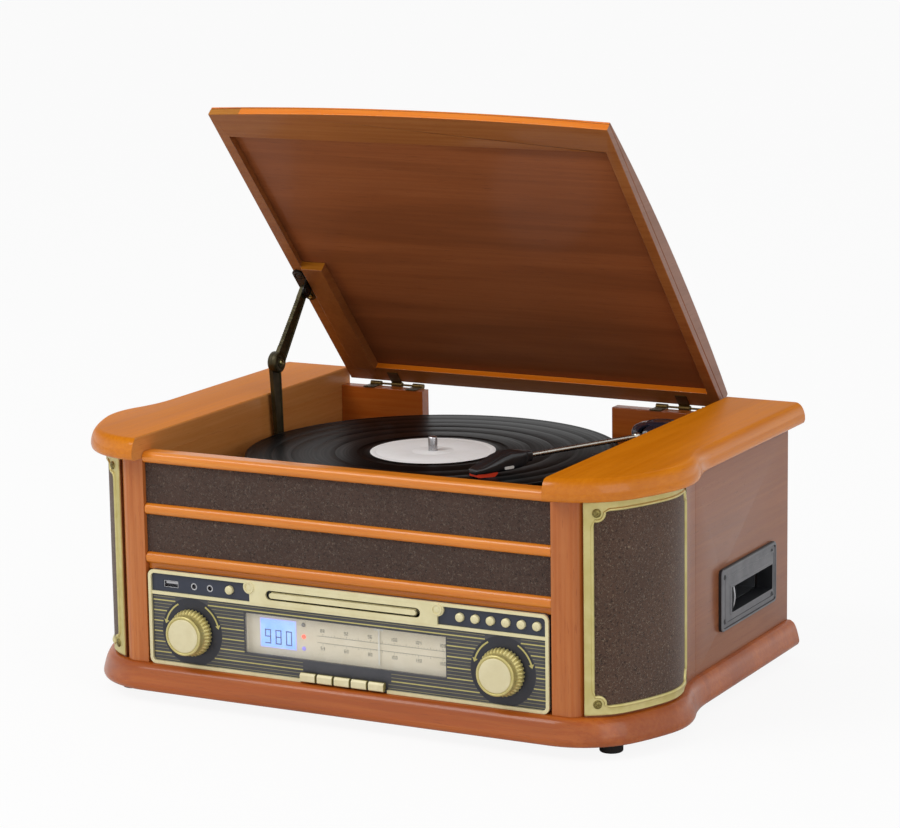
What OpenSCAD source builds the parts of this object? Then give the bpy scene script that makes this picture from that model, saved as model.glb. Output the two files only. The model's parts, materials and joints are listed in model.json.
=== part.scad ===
// Table-top stereo music centre: a wooden cabinet with bowed loudspeaker pods, a radio panel,
// a disc tray, a cassette slot and a record deck under a lifting lid. Units are millimetres.
// The lid is drawn propped open. Z = 0 is the surface that the feet stand on.

/* [Cabinet] */
// Width across the outer faces of the side walls
case_w = 462; // [456:1:474]
// Depth from the front face of the stiles to the back edge of the side walls
case_d = 331; // [327:1:340]
// Height of the side walls between plinth and cap boards
wall_h = 164.5; // [162:0.5:175]
// Thickness of the side walls
wall_t = 12; // [9:0.5:14]
// Thickness of the plinth board
plinth_t = 21; // [16:0.5:26]
// Thickness of the cap boards
cap_t = 17.5; // [15:0.5:22]
// Overhang of the plinth beyond the walls
plinth_lip = 11; // [8:0.5:14]
// Overhang of the cap boards beyond the walls
cap_lip = 14.5; // [11:0.5:16]
// Width of each side of the case, from the outer wall face to the record bay
side_w = 54.3; // [53:0.1:55.5]
// Thickness of the inner walls of the record bay
bay_wall_t = 9; // [6:0.5:10]
// Height of the rubber feet
foot_h = 10; // [6:0.5:16]
// Radius of the rubber feet
foot_r = 9; // [6:0.5:11]
// Distance of the feet from the case sides
foot_side = 20; // [16:1:30]
// Distance of the feet from the front and back of the case
foot_end = 30; // [24:1:40]

/* [Loudspeaker pods] */
// Radius of the pod's front corner
pod_r1 = 54; // [50:0.5:56]
// Radius of the pod's nearly flat flank
pod_r2 = 200; // [180:5:215]
// Radius where the pod turns back to the side wall
pod_r3 = 58; // [54:0.5:62]
// Radius of the hollow curve that meets the side wall
pod_r4 = 125; // [115:1:135]
// Thickness of the bowed baffle board
baffle_t = 9; // [6:0.5:10]
// Radius of the loudspeaker hole
speaker_hole_r = 30; // [26:0.5:31]
// Depth of the loudspeaker behind its flange
speaker_depth = 34; // [28:1:38]
// Height of the loudspeaker centre above the plinth
speaker_z = 76; // [66:1:84]

/* [Grilles] */
// Width of the bars of the grille frames
grille_bar = 9; // [7:0.5:11]
// Height of the grille frames above the baffle
grille_h = 3; // [2.4:0.1:4]
// Thickness of the grille cloth
cloth_t = 1.2; // [0.8:0.1:1.6]
// Radius of the corner lobes
lobe_r = 9.5; // [8:0.5:11]
// Radius of the grille screw heads
grille_screw_r = 3; // [2.4:0.1:3.6]
// Depth at which the frame's rear bar ends
grille_back_y = 112; // [108:0.5:116]

/* [Front] */
// Width of the stiles
stile_w = 24; // [22:0.5:26]
// Radius of the stiles' outer front edge
stile_r = 12; // [8:0.5:14]
// Depth of the stiles
stile_d = 24; // [18:0.5:28]
// Height of the lowest rail's underside above the plinth
rail_low_z = 80.3; // [80:0.1:82]
// Height of the middle rail's underside above the plinth
rail_mid_z = 119.3; // [117:0.1:121]
// Height of the top rail's underside above the plinth
rail_top_z = 160.8; // [158:0.1:161]
// Height of each rail
rail_h = 9; // [8:0.2:10]
// Depth of the rails
rail_d = 14; // [11:0.5:16]
// Set-back of the cloth strips behind the stiles
strip_back = 4; // [3:0.2:6]
// Thickness of the cloth-covered strip boards
strip_t = 5; // [3:0.5:7]

/* [Radio panel] */
// Gap between the radio panel and the stiles
panel_gap = 2.1; // [0.5:0.1:3.5]
// Height of the radio panel
panel_h = 76; // [75:0.1:77]
// Thickness of the radio panel
panel_t = 3; // [2.5:0.1:4]
// Set-back of the panel's face behind the stiles
panel_back = 1.5; // [1:0.1:3]
// Width of the gilt rim
rim_w = 2.6; // [2:0.1:3.4]
// Height of the gilt rim above the panel face
rim_h = 2; // [1.4:0.1:2.4]
// Height of the gilt divider above the panel's lower edge
divider_z = 57.6; // [57:0.1:58.4]
// Half width of the gilt disc fascia
fascia_half = 82; // [80:0.5:84]
// Width of the dial window
window_w = 176; // [170:0.5:180]
// Height of the dial window
window_h = 32; // [30:0.5:33]
// Height of the window's lower edge above the panel's lower edge
window_z = 17.5; // [16.5:0.1:18]
// Width of the lit display
lcd_w = 31; // [28:0.5:34]
// Height of the lit display
lcd_h = 22; // [19:0.5:25]
// Travel of the dial pointer either way from the middle of its run
pointer_run = 52; // [46:1:54]
// Place of the dial pointer, right of the middle of its run
pointer_at = 4; // [-20:1:20]

/* [Knobs and keys] */
// Distance of both knobs from the panel's ends
knob_in = 38.5; // [36:0.5:42]
// Height of the knobs above the panel's lower edge
knob_z = 28.4; // [27:0.2:31]
// Radius of the toothed flange
knob_r = 18.8; // [17:0.2:20]
// Radius of the smooth barrel
barrel_r = 16; // [13:0.5:16.5]
// Length of each knob from flange to face
knob_l = 15; // [12:0.5:18]
// Number of teeth on the flange
knob_teeth = 36; // [24:2:48]
// Radius of the knob shafts
shaft_r = 3; // [2.5:0.1:3.5]
// Radius of the drum that the dial cord winds on
drum_r = 10; // [8:0.5:11]
// Pitch of the source keys
key_pitch = 15; // [14.5:0.1:16]
// Width of each source key
key_w = 13.4; // [11:0.1:13.6]
// Height of each source key
key_h = 7; // [5.5:0.1:7.6]
// Height of the keys' centres above the panel's lower edge
key_z = 5; // [4.6:0.1:7]
// Distance that the keys stand out of the panel
key_out = 5.5; // [4:0.1:7]
// Travel of a key
key_travel = 2; // [1:0.1:2.5]
// Radius of the round buttons
button_r = 3.4; // [2.6:0.1:3.8]
// Distance that the round buttons stand out
button_out = 3; // [2.4:0.1:4]
// Travel of a round button
button_travel = 1; // [0.6:0.1:1.4]
// Pitch of the round buttons
button_pitch = 12.8; // [11.5:0.1:13]
// Clearance round every key and button
key_clear = 0.3; // [0.2:0.05:0.5]

/* [Disc tray] */
// Width of the tray slot
slot_w = 135; // [132:0.5:138]
// Height of the tray slot
slot_h = 7.6; // [7.2:0.1:8]
// Height of the slot's centre above the panel's lower edge
slot_z = 66; // [65.5:0.1:66.4]
// Width of the tray
tray_w = 128; // [124:0.5:129]
// Thickness of the tray
tray_t = 4.8; // [4:0.1:5.4]
// Length of the tray
tray_l = 150; // [140:1:156]
// Radius of the disc well in the tray
well_r = 60.5; // [60:0.1:61]

/* [Record deck] */
// Thickness of the deck plate
deck_t = 4; // [3:0.2:6]
// Height of the deck plate's top below the bay's rim boards
deck_drop = 32.5; // [31.5:0.5:36]
// Distance of the spindle left of the middle
spindle_left = 9.3; // [6:0.1:11]
// Distance of the spindle behind the stile fronts
spindle_y = 168.4; // [166:0.2:170]
// Radius of the platter
platter_r = 140; // [130:1:143]
// Height of the platter rim
platter_h = 14; // [12:0.5:15]
// Thickness of the rubber mat
mat_t = 3; // [2:0.2:4]
// Radius of the record
record_r = 151; // [150:0.5:151.5]
// Thickness of the record
record_t = 1.8; // [1.4:0.1:2.4]
// Radius of the spindle
spindle_r = 3.6; // [3.4:0.05:3.6]
// Height of the spindle above the record
spindle_up = 11.5; // [8:0.5:14]
// Radius of the drive ring under the platter
ring_r = 96; // [88:1:100]
// Radius of the motor pulley
pulley_r = 8; // [6:0.5:9]
// Distance from spindle to motor pulley
pulley_d = 118; // [114:0.5:120]
// Thickness of the flat drive belt
belt_t = 0.8; // [0.6:0.1:1.2]
// Height of the flat drive belt
belt_h = 4; // [3:0.2:5]

/* [Tonearm] */
// Distance of the arm pivot from the bay wall
arm_in = 26.7; // [24:0.1:29]
// Distance of the arm pivot behind the stile fronts
arm_y = 262; // [258:0.5:266]
// Angle of the arm from straight forward
arm_turn = 25; // [20:0.5:30]
// Distance from pivot to stylus
arm_l = 190; // [185:0.5:194]
// Height of the arm tube above the deck plate
arm_z = 31; // [30.5:0.5:34]
// Radius of the arm tube
tube_r = 2.6; // [2:0.1:3]
// Length of the headshell
shell_l = 66; // [58:1:72]
// Radius of the arm turret
turret_r = 17; // [14:0.5:19]

/* [Lid] */
// Angle of the open lid above level
lid_open = 48.4; // [40:0.2:50]
// Gap between the lid and each cap board
lid_gap = 2.4; // [1.6:0.1:4]
// Length of the lid from hinge line to the front corners
lid_l = 337; // [333:0.5:339]
// Bow of the front edge ahead of the corners
lid_bow = 6; // [4:0.5:7]
// Thickness of the lid at its crown
lid_t = 19.3; // [17:0.1:22]
// Distance of the crown ahead of the hinge line
crown_at = 130; // [120:1:150]
// Radius of the lid's domed top
dome_r = 1920; // [1800:10:2200]
// Depth of the frame under the lid's panel
frame_t = 6; // [5:0.1:6.4]
// Width of the frame's front rail
frame_front = 26; // [20:0.5:32]
// Width of the frame's side and rear rails
frame_side = 16; // [12:0.5:22]
// Height of the lid's underside above the plinth when shut
lid_z = 171; // [170.4:0.1:172]
// Gap between lid and hinge blocks when shut
hinge_gap = 2.5; // [2.2:0.1:3]
// Radius of the hinge barrels
barrel_hinge_r = 2.2; // [1.8:0.1:2.4]
// Radius of the hinge pins
pin_r = 0.9; // [0.8:0.05:1.1]

/* [Lid stay] */
// Distance of the lid pivot ahead of the hinge line
stay_s = 130; // [126:0.5:134]
// Distance of the lid pivot under the lid
stay_drop = 7.5; // [7:0.1:8.4]
// Distance of the wall pivot behind the stile fronts
stay_wall_y = 200; // [197:0.5:202]
// Height of the wall pivot above the plinth
stay_wall_z = 138; // [136.5:0.5:140]
// Length of the lower arm between pivots
lower_l = 71.2; // [70:0.2:73]
// Length of the upper arm between pivots
upper_l = 69.5; // [68.5:0.1:71]
// Thickness of the stay's bars
stay_t = 1.6; // [1.2:0.1:1.8]
// Width of the stay's bars
stay_w = 9; // [7:0.2:10]

/* [Cassette bay] */
// Distance from the case's back edge to the bezel
bezel_back = 31.5; // [27.5:0.5:38]
// Length of the bezel
bezel_l = 113; // [110:0.5:116]
// Height of the bezel
bezel_h = 50; // [48:0.5:54]
// Height of the bezel's lower edge above the plinth
bezel_z = 23.6; // [20:0.1:26]
// Thickness of the bezel
bezel_t = 3; // [2.4:0.1:4]
// Length of the bezel's opening
mouth_l = 84; // [82:0.5:86]
// Height of the bezel's opening
mouth_h = 20.4; // [19:0.1:22]
// Depth of the cassette well
well_depth = 104; // [102:0.5:108]

/* [Back] */
// Thickness of the back panel
back_t = 6; // [4:0.5:8]
// Thickness of the hinge blocks
block_t = 11.5; // [9:0.5:12]
// Width of the left hinge block
block_left_w = 79; // [72:1:86]
// Width of the right hinge block
block_right_w = 96; // [88:1:104]
// Number of vent slots in each group
vent_n = 7; // [4:1:9]

/* [Hidden] */

FN = 64;
EPS = 0.01;
gap = 0.2;               // between parts that are fitted side by side
run = 0.05;              // radial running clearance of a pin or shaft

// Levels
plinth_z = foot_h;
floor_z = foot_h + plinth_t;
wall_top = floor_z + wall_h;
deck_z = wall_top - deck_drop;
panel_z = floor_z + 0.2;
wall_x = case_w / 2;
bay_x = wall_x - side_w;
bay_w = 2 * bay_x;
lid_w = bay_w - 2 * lid_gap;
arm_x = bay_x - arm_in;
stile_x0 = bay_x - 0.1;
stile_x1 = stile_x0 + stile_w;
rail_len = 2 * stile_x0 - 2 * gap;
panel_w = 2 * stile_x0 - 2 * panel_gap;
knob_x = panel_w / 2 - knob_in;

// Hinge line and open lid
hinge_y = case_d - 1;
hinge_z = floor_z + lid_z - hinge_gap / 2;
block_top = floor_z + lid_z - hinge_gap;
rear_gap = barrel_hinge_r + 0.4;
lid_rear_t = lid_t - (dome_r - sqrt(dome_r * dome_r - pow(crown_at - rear_gap, 2)));
lid_reach = hinge_y - rear_gap * cos(lid_open) + (lid_rear_t + hinge_gap / 2) * sin(lid_open);
front_reach = max(cap_lip, knob_l + 0.5 - panel_back);
centre_y = (lid_reach - front_reach) / 2;

// Outline of the case wall seen from above. Each stretch is an arc given by the heading at its
// end and its radius; a negative radius curves the other way.
POD_ARCS = [[62, pod_r1, 10], [72, pod_r2, 3], [110, pod_r3, 8], [90, -pod_r4, 5]];

function arc_points(p, h0, h1, r, n) =
    [for (i = [1:n]) let (a = h0 + (h1 - h0) * i / n)
        [p[0] + r * (sin(a) - sin(h0)), p[1] + r * (cos(h0) - cos(a)), a]];

function arcs_from(pts, k) = k >= len(POD_ARCS) ? pts :
    let (last = pts[len(pts) - 1], s = POD_ARCS[k])
    arcs_from(concat(pts, arc_points(last, last[2], s[0], s[1], s[2])), k + 1);

raw_path = arcs_from([[0, 0, 0]], 0);
path_shift = wall_x - raw_path[len(raw_path) - 1][0];
pod_path = [for (p = raw_path) [p[0] + path_shift, p[1], p[2]]];
PN = len(pod_path);

function pushed(p, d) = [p[0] + d * sin(p[2]), p[1] - d * cos(p[2])];
function wall_line(d) = [for (p = pod_path) pushed(p, d)];
function reversed(v) = [for (i = [len(v) - 1:-1:0]) v[i]];

// Place on the pod line nearest to a heading, for pieces that face outwards from the pod
function near_heading(h, k = 1) = k >= PN - 1 || pod_path[k][2] >= h ? pod_path[k] : near_heading(h, k + 1);

// Rounded edges from the bottom up: how far short of the full overhang, and share of the height
CAP_EDGE = [[3.5, 0], [1.2, 0.06], [0.2, 0.17], [0, 0.3], [0.3, 0.46], [1.2, 0.64], [2.6, 0.8],
    [4.4, 0.91], [6.4, 0.98], [8.4, 1]];
PLINTH_EDGE = [[3.4, 0], [1.4, 0.05], [0.3, 0.18], [0.6, 0.3], [1.4, 0.45], [2.4, 0.615],
    [3.6, 0.77], [5, 0.88], [6.6, 0.95], [8.6, 1]];
function nose(edge, lip, t) = [for (q = edge) [lip - q[0], t * q[1]]];

module place() translate([0, -centre_y, 0]) children();
module both_sides() { children(); mirror([1, 0, 0]) children(); }

// Solid between equal rings of points, bottom ring first
module stacked(rings) {
    n = len(rings[0]);
    m = len(rings);
    pts = [for (r = rings) for (p = r) p];
    sides = [for (k = [0:m - 2]) for (i = [0:n - 1]) let (j = (i + 1) % n)
        [k * n + i, (k + 1) * n + i, (k + 1) * n + j, k * n + j]];
    polyhedron(pts, concat([[for (i = [0:n - 1]) i]], sides,
        [[for (i = [n - 1:-1:0]) (m - 1) * n + i]]), convexity = 4);
}

// Bar with rounded front edges, running along X, with an optional tongue hanging at its back
module nosed_rail(len_x, h, d, round_r, tongue = 0) {
    rotate([90, 0, 90]) linear_extrude(len_x, center = true) {
        translate([round_r, 0]) square([d - round_r, h]);
        translate([round_r, round_r]) circle(round_r, $fn = FN);
        translate([round_r, h - round_r]) circle(round_r, $fn = FN);
        translate([0, round_r]) square([round_r, h - 2 * round_r]);
        if (tongue > 0) translate([round_r + 0.4, -tongue]) square([d - round_r - 3, tongue + 1]);
    }
}

module round_slot(w, h, t) {
    rotate([90, 0, 0]) linear_extrude(t, center = true) {
        square([w - h, h], center = true);
        for (s = [-1, 1]) translate([s * (w - h) / 2, 0]) circle(h / 2, $fn = FN);
    }
}

module rounded_plate(w, h, r, t) {
    rotate([90, 0, 0]) linear_extrude(t, center = true) {
        square([w - 2 * r, h], center = true);
        square([w, h - 2 * r], center = true);
        for (sx = [-1, 1]) for (sz = [-1, 1])
            translate([sx * (w / 2 - r), sz * (h / 2 - r)]) circle(r, $fn = FN);
    }
}

// ---------------------------------------------------------------- cabinet

module plinth() {
    ring = nose(PLINTH_EDGE, plinth_lip, plinth_t);
    place() color("sienna") difference() {
        stacked([for (q = ring)
            let (right = wall_line(q[0]))
            [for (p = concat([for (v = reversed(right)) [-v[0], v[1]]], right,
                [[wall_x + q[0], case_d], [-wall_x - q[0], case_d]])) [p[0], p[1], plinth_z + q[1]]]]);
        at_feet() translate([0, 0, foot_h - 1]) cylinder(r = foot_r + gap, h = 1 + foot_seat, $fn = FN);
    }
}

foot_seat = 1;           // depth that each foot is let into the plinth

module at_feet() {
    for (s = [-1, 1]) for (y = [foot_end, case_d - foot_end])
        translate([s * (wall_x - foot_side), y, 0]) children();
}

module foot() {
    rotate_extrude($fn = FN) difference() {
        square([foot_r, foot_h + foot_seat - gap / 4]);
        translate([foot_r - 1.2, 0]) difference() {
            square(1.2);
            translate([0, 1.2]) circle(1.2, $fn = 24);
        }
        square([2.4, 3]);
    }
}

module feet() {
    place() color([0.1, 0.1, 0.1]) at_feet() foot();
}

module pod_band(d0, d1) {
    linear_extrude(wall_h - 2 * EPS, convexity = 6)
        polygon(concat(wall_line(d1), reversed(wall_line(d0))));
}

join_y = pod_path[PN - 1][1];

module side_wall() {
    translate([wall_x - wall_t, join_y + gap, floor_z]) cube([wall_t, case_d - join_y - gap, wall_h]);
}

module side_boards() {
    place() color("peru") {
        mirror([1, 0, 0]) side_wall();
        difference() {
            side_wall();
            translate([wall_x - wall_t - 1, bezel_y + 5, floor_z + bezel_z + 5])
                cube([wall_t + 2, bezel_l - 10, bezel_h - 10]);
        }
        both_sides() translate([bay_x, stile_d + gap, deck_z - 12])
            cube([bay_wall_t, case_d - back_t - stile_d - 2 * gap, wall_top - deck_z + 12]);
    }
}

speaker_p = near_heading(68);
speaker_in = 18;         // distance of the loudspeaker flange behind the pod's surface
flange_r = speaker_hole_r + 5;

// Moves to the loudspeaker centre on the right pod, with Z pointing outwards
module on_speaker(d) {
    translate([pushed(speaker_p, d)[0], pushed(speaker_p, d)[1], floor_z + speaker_z])
        rotate([0, 0, speaker_p[2] - 90]) rotate([0, 90, 0]) children();
}

module speaker_pods() {
    place() color("peru") both_sides() difference() {
        intersection() {
            union() {
                translate([0, 0, floor_z + EPS]) pod_band(-baffle_t, 0);
                intersection() {
                    translate([0, 0, floor_z + EPS]) pod_band(-60, -baffle_t + 1);
                    on_speaker(-speaker_in) cylinder(r = flange_r + 3, h = 40, $fn = FN);
                }
            }
            translate([stile_x1 + gap, -30, 0]) cube([100, join_y + 30, 400]);
        }
        on_speaker(0) cylinder(r = speaker_hole_r, h = 60, center = true, $fn = FN);
    }
}

module stile() {
    translate([0, 0, floor_z + EPS]) linear_extrude(wall_h - 2 * EPS) difference() {
        translate([stile_x0, 0]) square([stile_w, stile_d]);
        translate([stile_x1 - stile_r, 0]) difference() {
            square([stile_r + 1, stile_r]);
            translate([0, stile_r]) circle(stile_r, $fn = FN);
        }
    }
}

module front_frame() {
    place() color("chocolate") {
        both_sides() stile();
        translate([0, 0.5, floor_z + rail_low_z]) nosed_rail(rail_len, rail_h, rail_d, 4, 5);
        translate([0, 0.5, floor_z + rail_mid_z]) nosed_rail(rail_len, rail_h, rail_d, 4);
        translate([0, -0.5, floor_z + rail_top_z]) nosed_rail(rail_len, rail_h, rail_d, 4);
    }
}

module caps() {
    ring = nose(CAP_EDGE, cap_lip, cap_t);
    place() color("darkorange") both_sides() stacked([for (q = ring)
        let (right = wall_line(q[0]))
        [for (p = concat([[bay_x, case_d], [bay_x, -q[0]]], right, [[wall_x + q[0], case_d]]))
            [p[0], p[1], wall_top + q[1]]]]);
}

vent_w = 30;
vent_h = 3;
vent_pitch = 7;
inlet_x = 150;
inlet_z = 26;
line_x = -120;
line_z = 30;
line_pitch = 16;
line_r = 4.2;
jack_r = 3;

module back_panel() {
    place() color([0.15, 0.13, 0.12]) difference() {
        union() {
            translate([-(wall_x - wall_t - gap), case_d - back_t, floor_z + 0.1])
                cube([2 * (wall_x - wall_t - gap), back_t, deck_z - floor_z - 0.1]);
            both_sides() translate([bay_x + gap, case_d - back_t, deck_z - 1])
                cube([wall_x - wall_t - bay_x - 2 * gap, back_t, wall_top - deck_z + 1 - EPS]);
        }
        for (sx = [-1, 0, 1]) for (k = [0:vent_n - 1])
            translate([sx * 74, case_d - back_t / 2, floor_z + 68 + k * vent_pitch])
                round_slot(vent_w, vent_h, back_t + 2);
        translate([inlet_x, case_d - back_t / 2, floor_z + inlet_z]) cube([24, back_t + 2, 18], center = true);
        for (k = [-0.5, 0.5]) translate([line_x + k * line_pitch, case_d - back_t / 2, floor_z + line_z])
            rotate([90, 0, 0]) cylinder(r = line_r + 0.2, h = back_t + 2, center = true, $fn = FN);
    }
}

module hinge_block(w) {
    translate([0, 0, deck_z + gap / 2]) difference() {
        cube([w, block_t, block_top - deck_z - gap / 2]);
        translate([-1, -1, block_top - deck_z - 2.6]) rotate([0, 90, 0]) mirror([1, 0, 0])
            linear_extrude(w + 2) polygon([[1.4, 0], [4, 0], [4, 3.6]]);
    }
}

block_y = hinge_y - rear_gap - block_t;

module hinge_blocks() {
    place() color("sienna") {
        translate([-bay_x + gap, block_y, 0]) hinge_block(block_left_w);
        translate([bay_x - gap - block_right_w, block_y, 0]) hinge_block(block_right_w);
    }
}

strip_low = rail_low_z + rail_h;
strip_mid = rail_mid_z + rail_h;

module cloth_strips() {
    place() color([0.3, 0.22, 0.2])
        for (q = [[strip_low, rail_mid_z - strip_low], [strip_mid, rail_top_z - strip_mid]])
            translate([-rail_len / 2, strip_back, floor_z + q[0] + 0.1])
                cube([rail_len, strip_t, q[1] - 0.2]);
}

// ---------------------------------------------------------------- grilles

grille_z0 = floor_z + 1.5;
grille_z1 = wall_top - 1.5;
grille_x0 = stile_x1 + gap;
lobe_front = near_heading(40);
lobe_back = near_heading(101);
lobe_in = 7.5;           // distance of the screws from the frame's ends

module on_lobe(p, z, d) {
    translate([pushed(p, d)[0], pushed(p, d)[1], z]) rotate([0, 0, p[2] - 90]) rotate([0, 90, 0]) children();
}

module lobes(r, d, h) {
    for (p = [lobe_front, lobe_back]) for (z = [grille_z0 + lobe_in, grille_z1 - lobe_in])
        on_lobe(p, z, d) cylinder(r = r, h = h, $fn = FN);
}

// Region of the pod that the cloth fills, shrunk by an edge
module grille_window(d0, d1, edge) {
    intersection() {
        translate([0, 0, floor_z + EPS]) pod_band(d0, d1);
        translate([grille_x0 + grille_bar + edge, -30, grille_z0 + 5 + edge])
            cube([100, grille_back_y - grille_bar + 30 - edge, grille_z1 - grille_z0 - 10 - 2 * edge]);
    }
}

module grille_frame() {
    difference() {
        union() {
            difference() {
                intersection() {
                    translate([0, 0, floor_z + EPS]) pod_band(0.1, grille_h);
                    translate([grille_x0, -30, grille_z0])
                        cube([100, grille_back_y + 30, grille_z1 - grille_z0]);
                }
                grille_window(-1, grille_h + 1, 0);
            }
            intersection() {
                translate([0, 0, floor_z + EPS]) pod_band(0.1, grille_h);
                translate([grille_x0, -30, grille_z0])
                    cube([100, grille_back_y + 30, grille_z1 - grille_z0]);
                lobes(lobe_r, -4, 12);
            }
        }
        lobes(grille_screw_r + 0.3, -6, 16);
    }
}

module grille_frames() {
    place() color("khaki") both_sides() grille_frame();
}

module grille_cloths() {
    place() color([0.32, 0.24, 0.21]) both_sides() difference() {
        grille_window(0.1, 0.1 + cloth_t, gap);
        lobes(lobe_r + gap, -4, 12);
    }
}

module grille_screw() {
    difference() {
        rotate_extrude($fn = 32) difference() {
            union() {
                square([grille_screw_r, 1.2]);
                intersection() {
                    translate([0, -3.6]) circle(6, $fn = 64);
                    square([grille_screw_r, 3]);
                }
            }
            translate([-1, -1]) square([1, 5]);
        }
        for (a = [0, 90]) rotate([0, 0, a]) translate([-1.9, -0.35, 1.2]) cube([3.8, 0.7, 3]);
    }
}

module grille_screws() {
    place() color("darkkhaki") both_sides()
        for (p = [lobe_front, lobe_back]) for (z = [grille_z0 + lobe_in, grille_z1 - lobe_in])
            on_lobe(p, z, 0.2) grille_screw();
}

// Loudspeaker: flange, open basket cone and magnet, one revolved profile
module speaker() {
    cone_r = speaker_hole_r - 3;
    magnet_r = 22;
    rotate_extrude($fn = FN) polygon([
        [0, -10], [6, -11], [9, -14], [cone_r - 2, -4], [cone_r, -2], [cone_r + 2, -4],
        [speaker_hole_r, 0], [flange_r, 0], [flange_r, -2.4], [speaker_hole_r + 1, -3],
        [14, -speaker_depth + 12], [magnet_r, -speaker_depth + 10], [magnet_r, -speaker_depth],
        [0, -speaker_depth]]);
}

module speakers() {
    place() color([0.12, 0.12, 0.13]) both_sides() on_speaker(-speaker_in - 0.05) speaker();
}

// ---------------------------------------------------------------- radio panel

panel_y = panel_back;
fascia_h = panel_h - rim_w - divider_z - rim_w / 2;
fascia_z = divider_z + rim_w / 2 + fascia_h / 2;
button_x0 = fascia_half + 18.6;
button_z = slot_z + 0.2;
boss_z = slot_z + 4.6;
boss_r = 5.4;
rec_x = -fascia_half - 18.6;
usb_x = -panel_w / 2 + 20.1;
jack_x = -panel_w / 2 + 40.9;
jack_pitch = 14.5;
lcd_in = 26.5;           // distance of the display's centre from the window's left end
lcd_x = -window_w / 2 + lcd_in;
lcd_z = window_z + window_h / 2 + 0.4;
lamp_x = lcd_x + lcd_w / 2 + 7;
lamp_pitch = 9.4;
lamp_r = 1.6;
pointer_z = window_z + window_h / 2;
run_mid = 24;
source_x = [for (k = [-2:2]) k * key_pitch];
button_xs = concat([rec_x], [for (k = [0:5]) button_x0 + k * button_pitch]);

module at_panel(x, z, y = 0) translate([x, panel_y + y, panel_z + z]) children();
module panel_hole(r, len_y = 12) rotate([90, 0, 0]) cylinder(r = r, h = len_y, center = true, $fn = FN);

module panel_plate() {
    place() color([0.25, 0.26, 0.29]) difference() {
        at_panel(0, panel_h / 2, panel_t / 2) rounded_plate(panel_w, panel_h, 5, panel_t);
        at_panel(0, window_z + window_h / 2) cube([window_w, 12, window_h], center = true);
        at_panel(0, slot_z) cube([slot_w + 1, 12, slot_h + 1], center = true);
        for (s = [-1, 1]) at_panel(s * knob_x, knob_z) panel_hole(shaft_r + run);
        for (x = source_x) at_panel(x, key_z)
            cube([key_w - 2 + 2 * key_clear, 12, key_h - 2 + 2 * key_clear], center = true);
        for (x = button_xs) at_panel(x, button_z) panel_hole(button_r + key_clear);
        at_panel(usb_x, button_z - 1) cube([13.6, 12, 6], center = true);
        for (k = [0, 1]) at_panel(jack_x + k * jack_pitch, button_z - 1) panel_hole(jack_r);
    }
}

// Gilt rim, divider and disc fascia, moulded in one
module panel_trim() {
    place() color("khaki") difference() {
        union() {
            difference() {
                at_panel(0, panel_h / 2, -rim_h / 2) rounded_plate(panel_w, panel_h, 5, rim_h - gap / 4);
                at_panel(0, panel_h / 2, -rim_h / 2)
                    rounded_plate(panel_w - 2 * rim_w, panel_h - 2 * rim_w, 3, rim_h + 2);
            }
            at_panel(0, divider_z, -0.7) cube([panel_w - 2 * rim_w + 1, 1.3, rim_w], center = true);
            at_panel(0, fascia_z, -0.95) cube([2 * fascia_half, 1.8, fascia_h + 1], center = true);
            for (s = [-1, 1]) at_panel(s * fascia_half, boss_z, -0.05) rotate([90, 0, 0]) {
                cylinder(r = boss_r, h = 1.8, $fn = FN);
                cylinder(r1 = boss_r, r2 = boss_r - 1.2, h = 3, $fn = FN);
            }
        }
        at_panel(0, slot_z) round_slot(slot_w, slot_h, 12);
        for (s = [-1, 1]) at_panel(s * fascia_half, boss_z, -3) panel_hole(boss_r - 2, 1.4);
        at_panel(0, key_z + key_clear / 2 - 10)
            cube([5 * key_pitch + 2 * key_clear, 12, key_h + key_clear + 20], center = true);
    }
}

glass_t = 1.6;

module dial_window() {
    place() color([0.85, 0.82, 0.7, 0.4]) at_panel(0, window_z + window_h / 2, 0.3 + glass_t / 2)
        cube([window_w - 2 * gap, glass_t, window_h - 2 * gap], center = true);
}

scale_y = panel_t + 3.5;

module dial_scale() {
    place() color([0.86, 0.82, 0.68]) difference() {
        at_panel(0, window_z + window_h / 2, scale_y + 1) cube([window_w + 8, 2, window_h + 6], center = true);
        at_panel(lcd_x, lcd_z, scale_y) cube([lcd_w + 2 * gap, 8, lcd_h + 2 * gap], center = true);
        for (k = [-1, 0, 1]) at_panel(lamp_x, lcd_z + lamp_pitch * k, scale_y) panel_hole(lamp_r + gap);
    }
    place() color([0.2, 0.2, 0.2]) for (s = [-1, 1])
        at_panel(s * (window_w / 2 + 2.5), window_z + window_h / 2, panel_t + 1.75)
            cube([3, 3.4, window_h], center = true);
}

module lcd_display() {
    place() {
        color([0.6, 0.75, 1]) at_panel(lcd_x, lcd_z, scale_y + 2.5)
            cube([lcd_w, 6, lcd_h], center = true);
        color("red") for (k = [-1, 0, 1]) at_panel(lamp_x, lcd_z + lamp_pitch * k, scale_y + 3.4)
            rotate([90, 0, 0]) cylinder(r = lamp_r, h = 4, $fn = 32);
    }
}

// Pointer needle with the carriage that hooks over the edge of the scale
module dial_pointer() {
    place() color("white") at_panel(run_mid + pointer_at, pointer_z, scale_y - 1.3) {
        cube([1.2, 0.9, window_h - 4], center = true);
        translate([-4, -0.45, window_h / 2 - 3]) cube([8, 0.9, 7.3]);
        translate([-4, -0.45, window_h / 2 + 3.4]) cube([8, 6, 1.2]);
    }
}

// Toothed outline of a knob flange
function cog(n, r, cut) = [for (i = [0:4 * n - 1]) let (a = 90 * (i + 0.5) / n, q = i % 4 < 2 ? r : r - cut)
    [q * cos(a), q * sin(a)]];

flange_l = 5;
knob_gap = 0.8;

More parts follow.
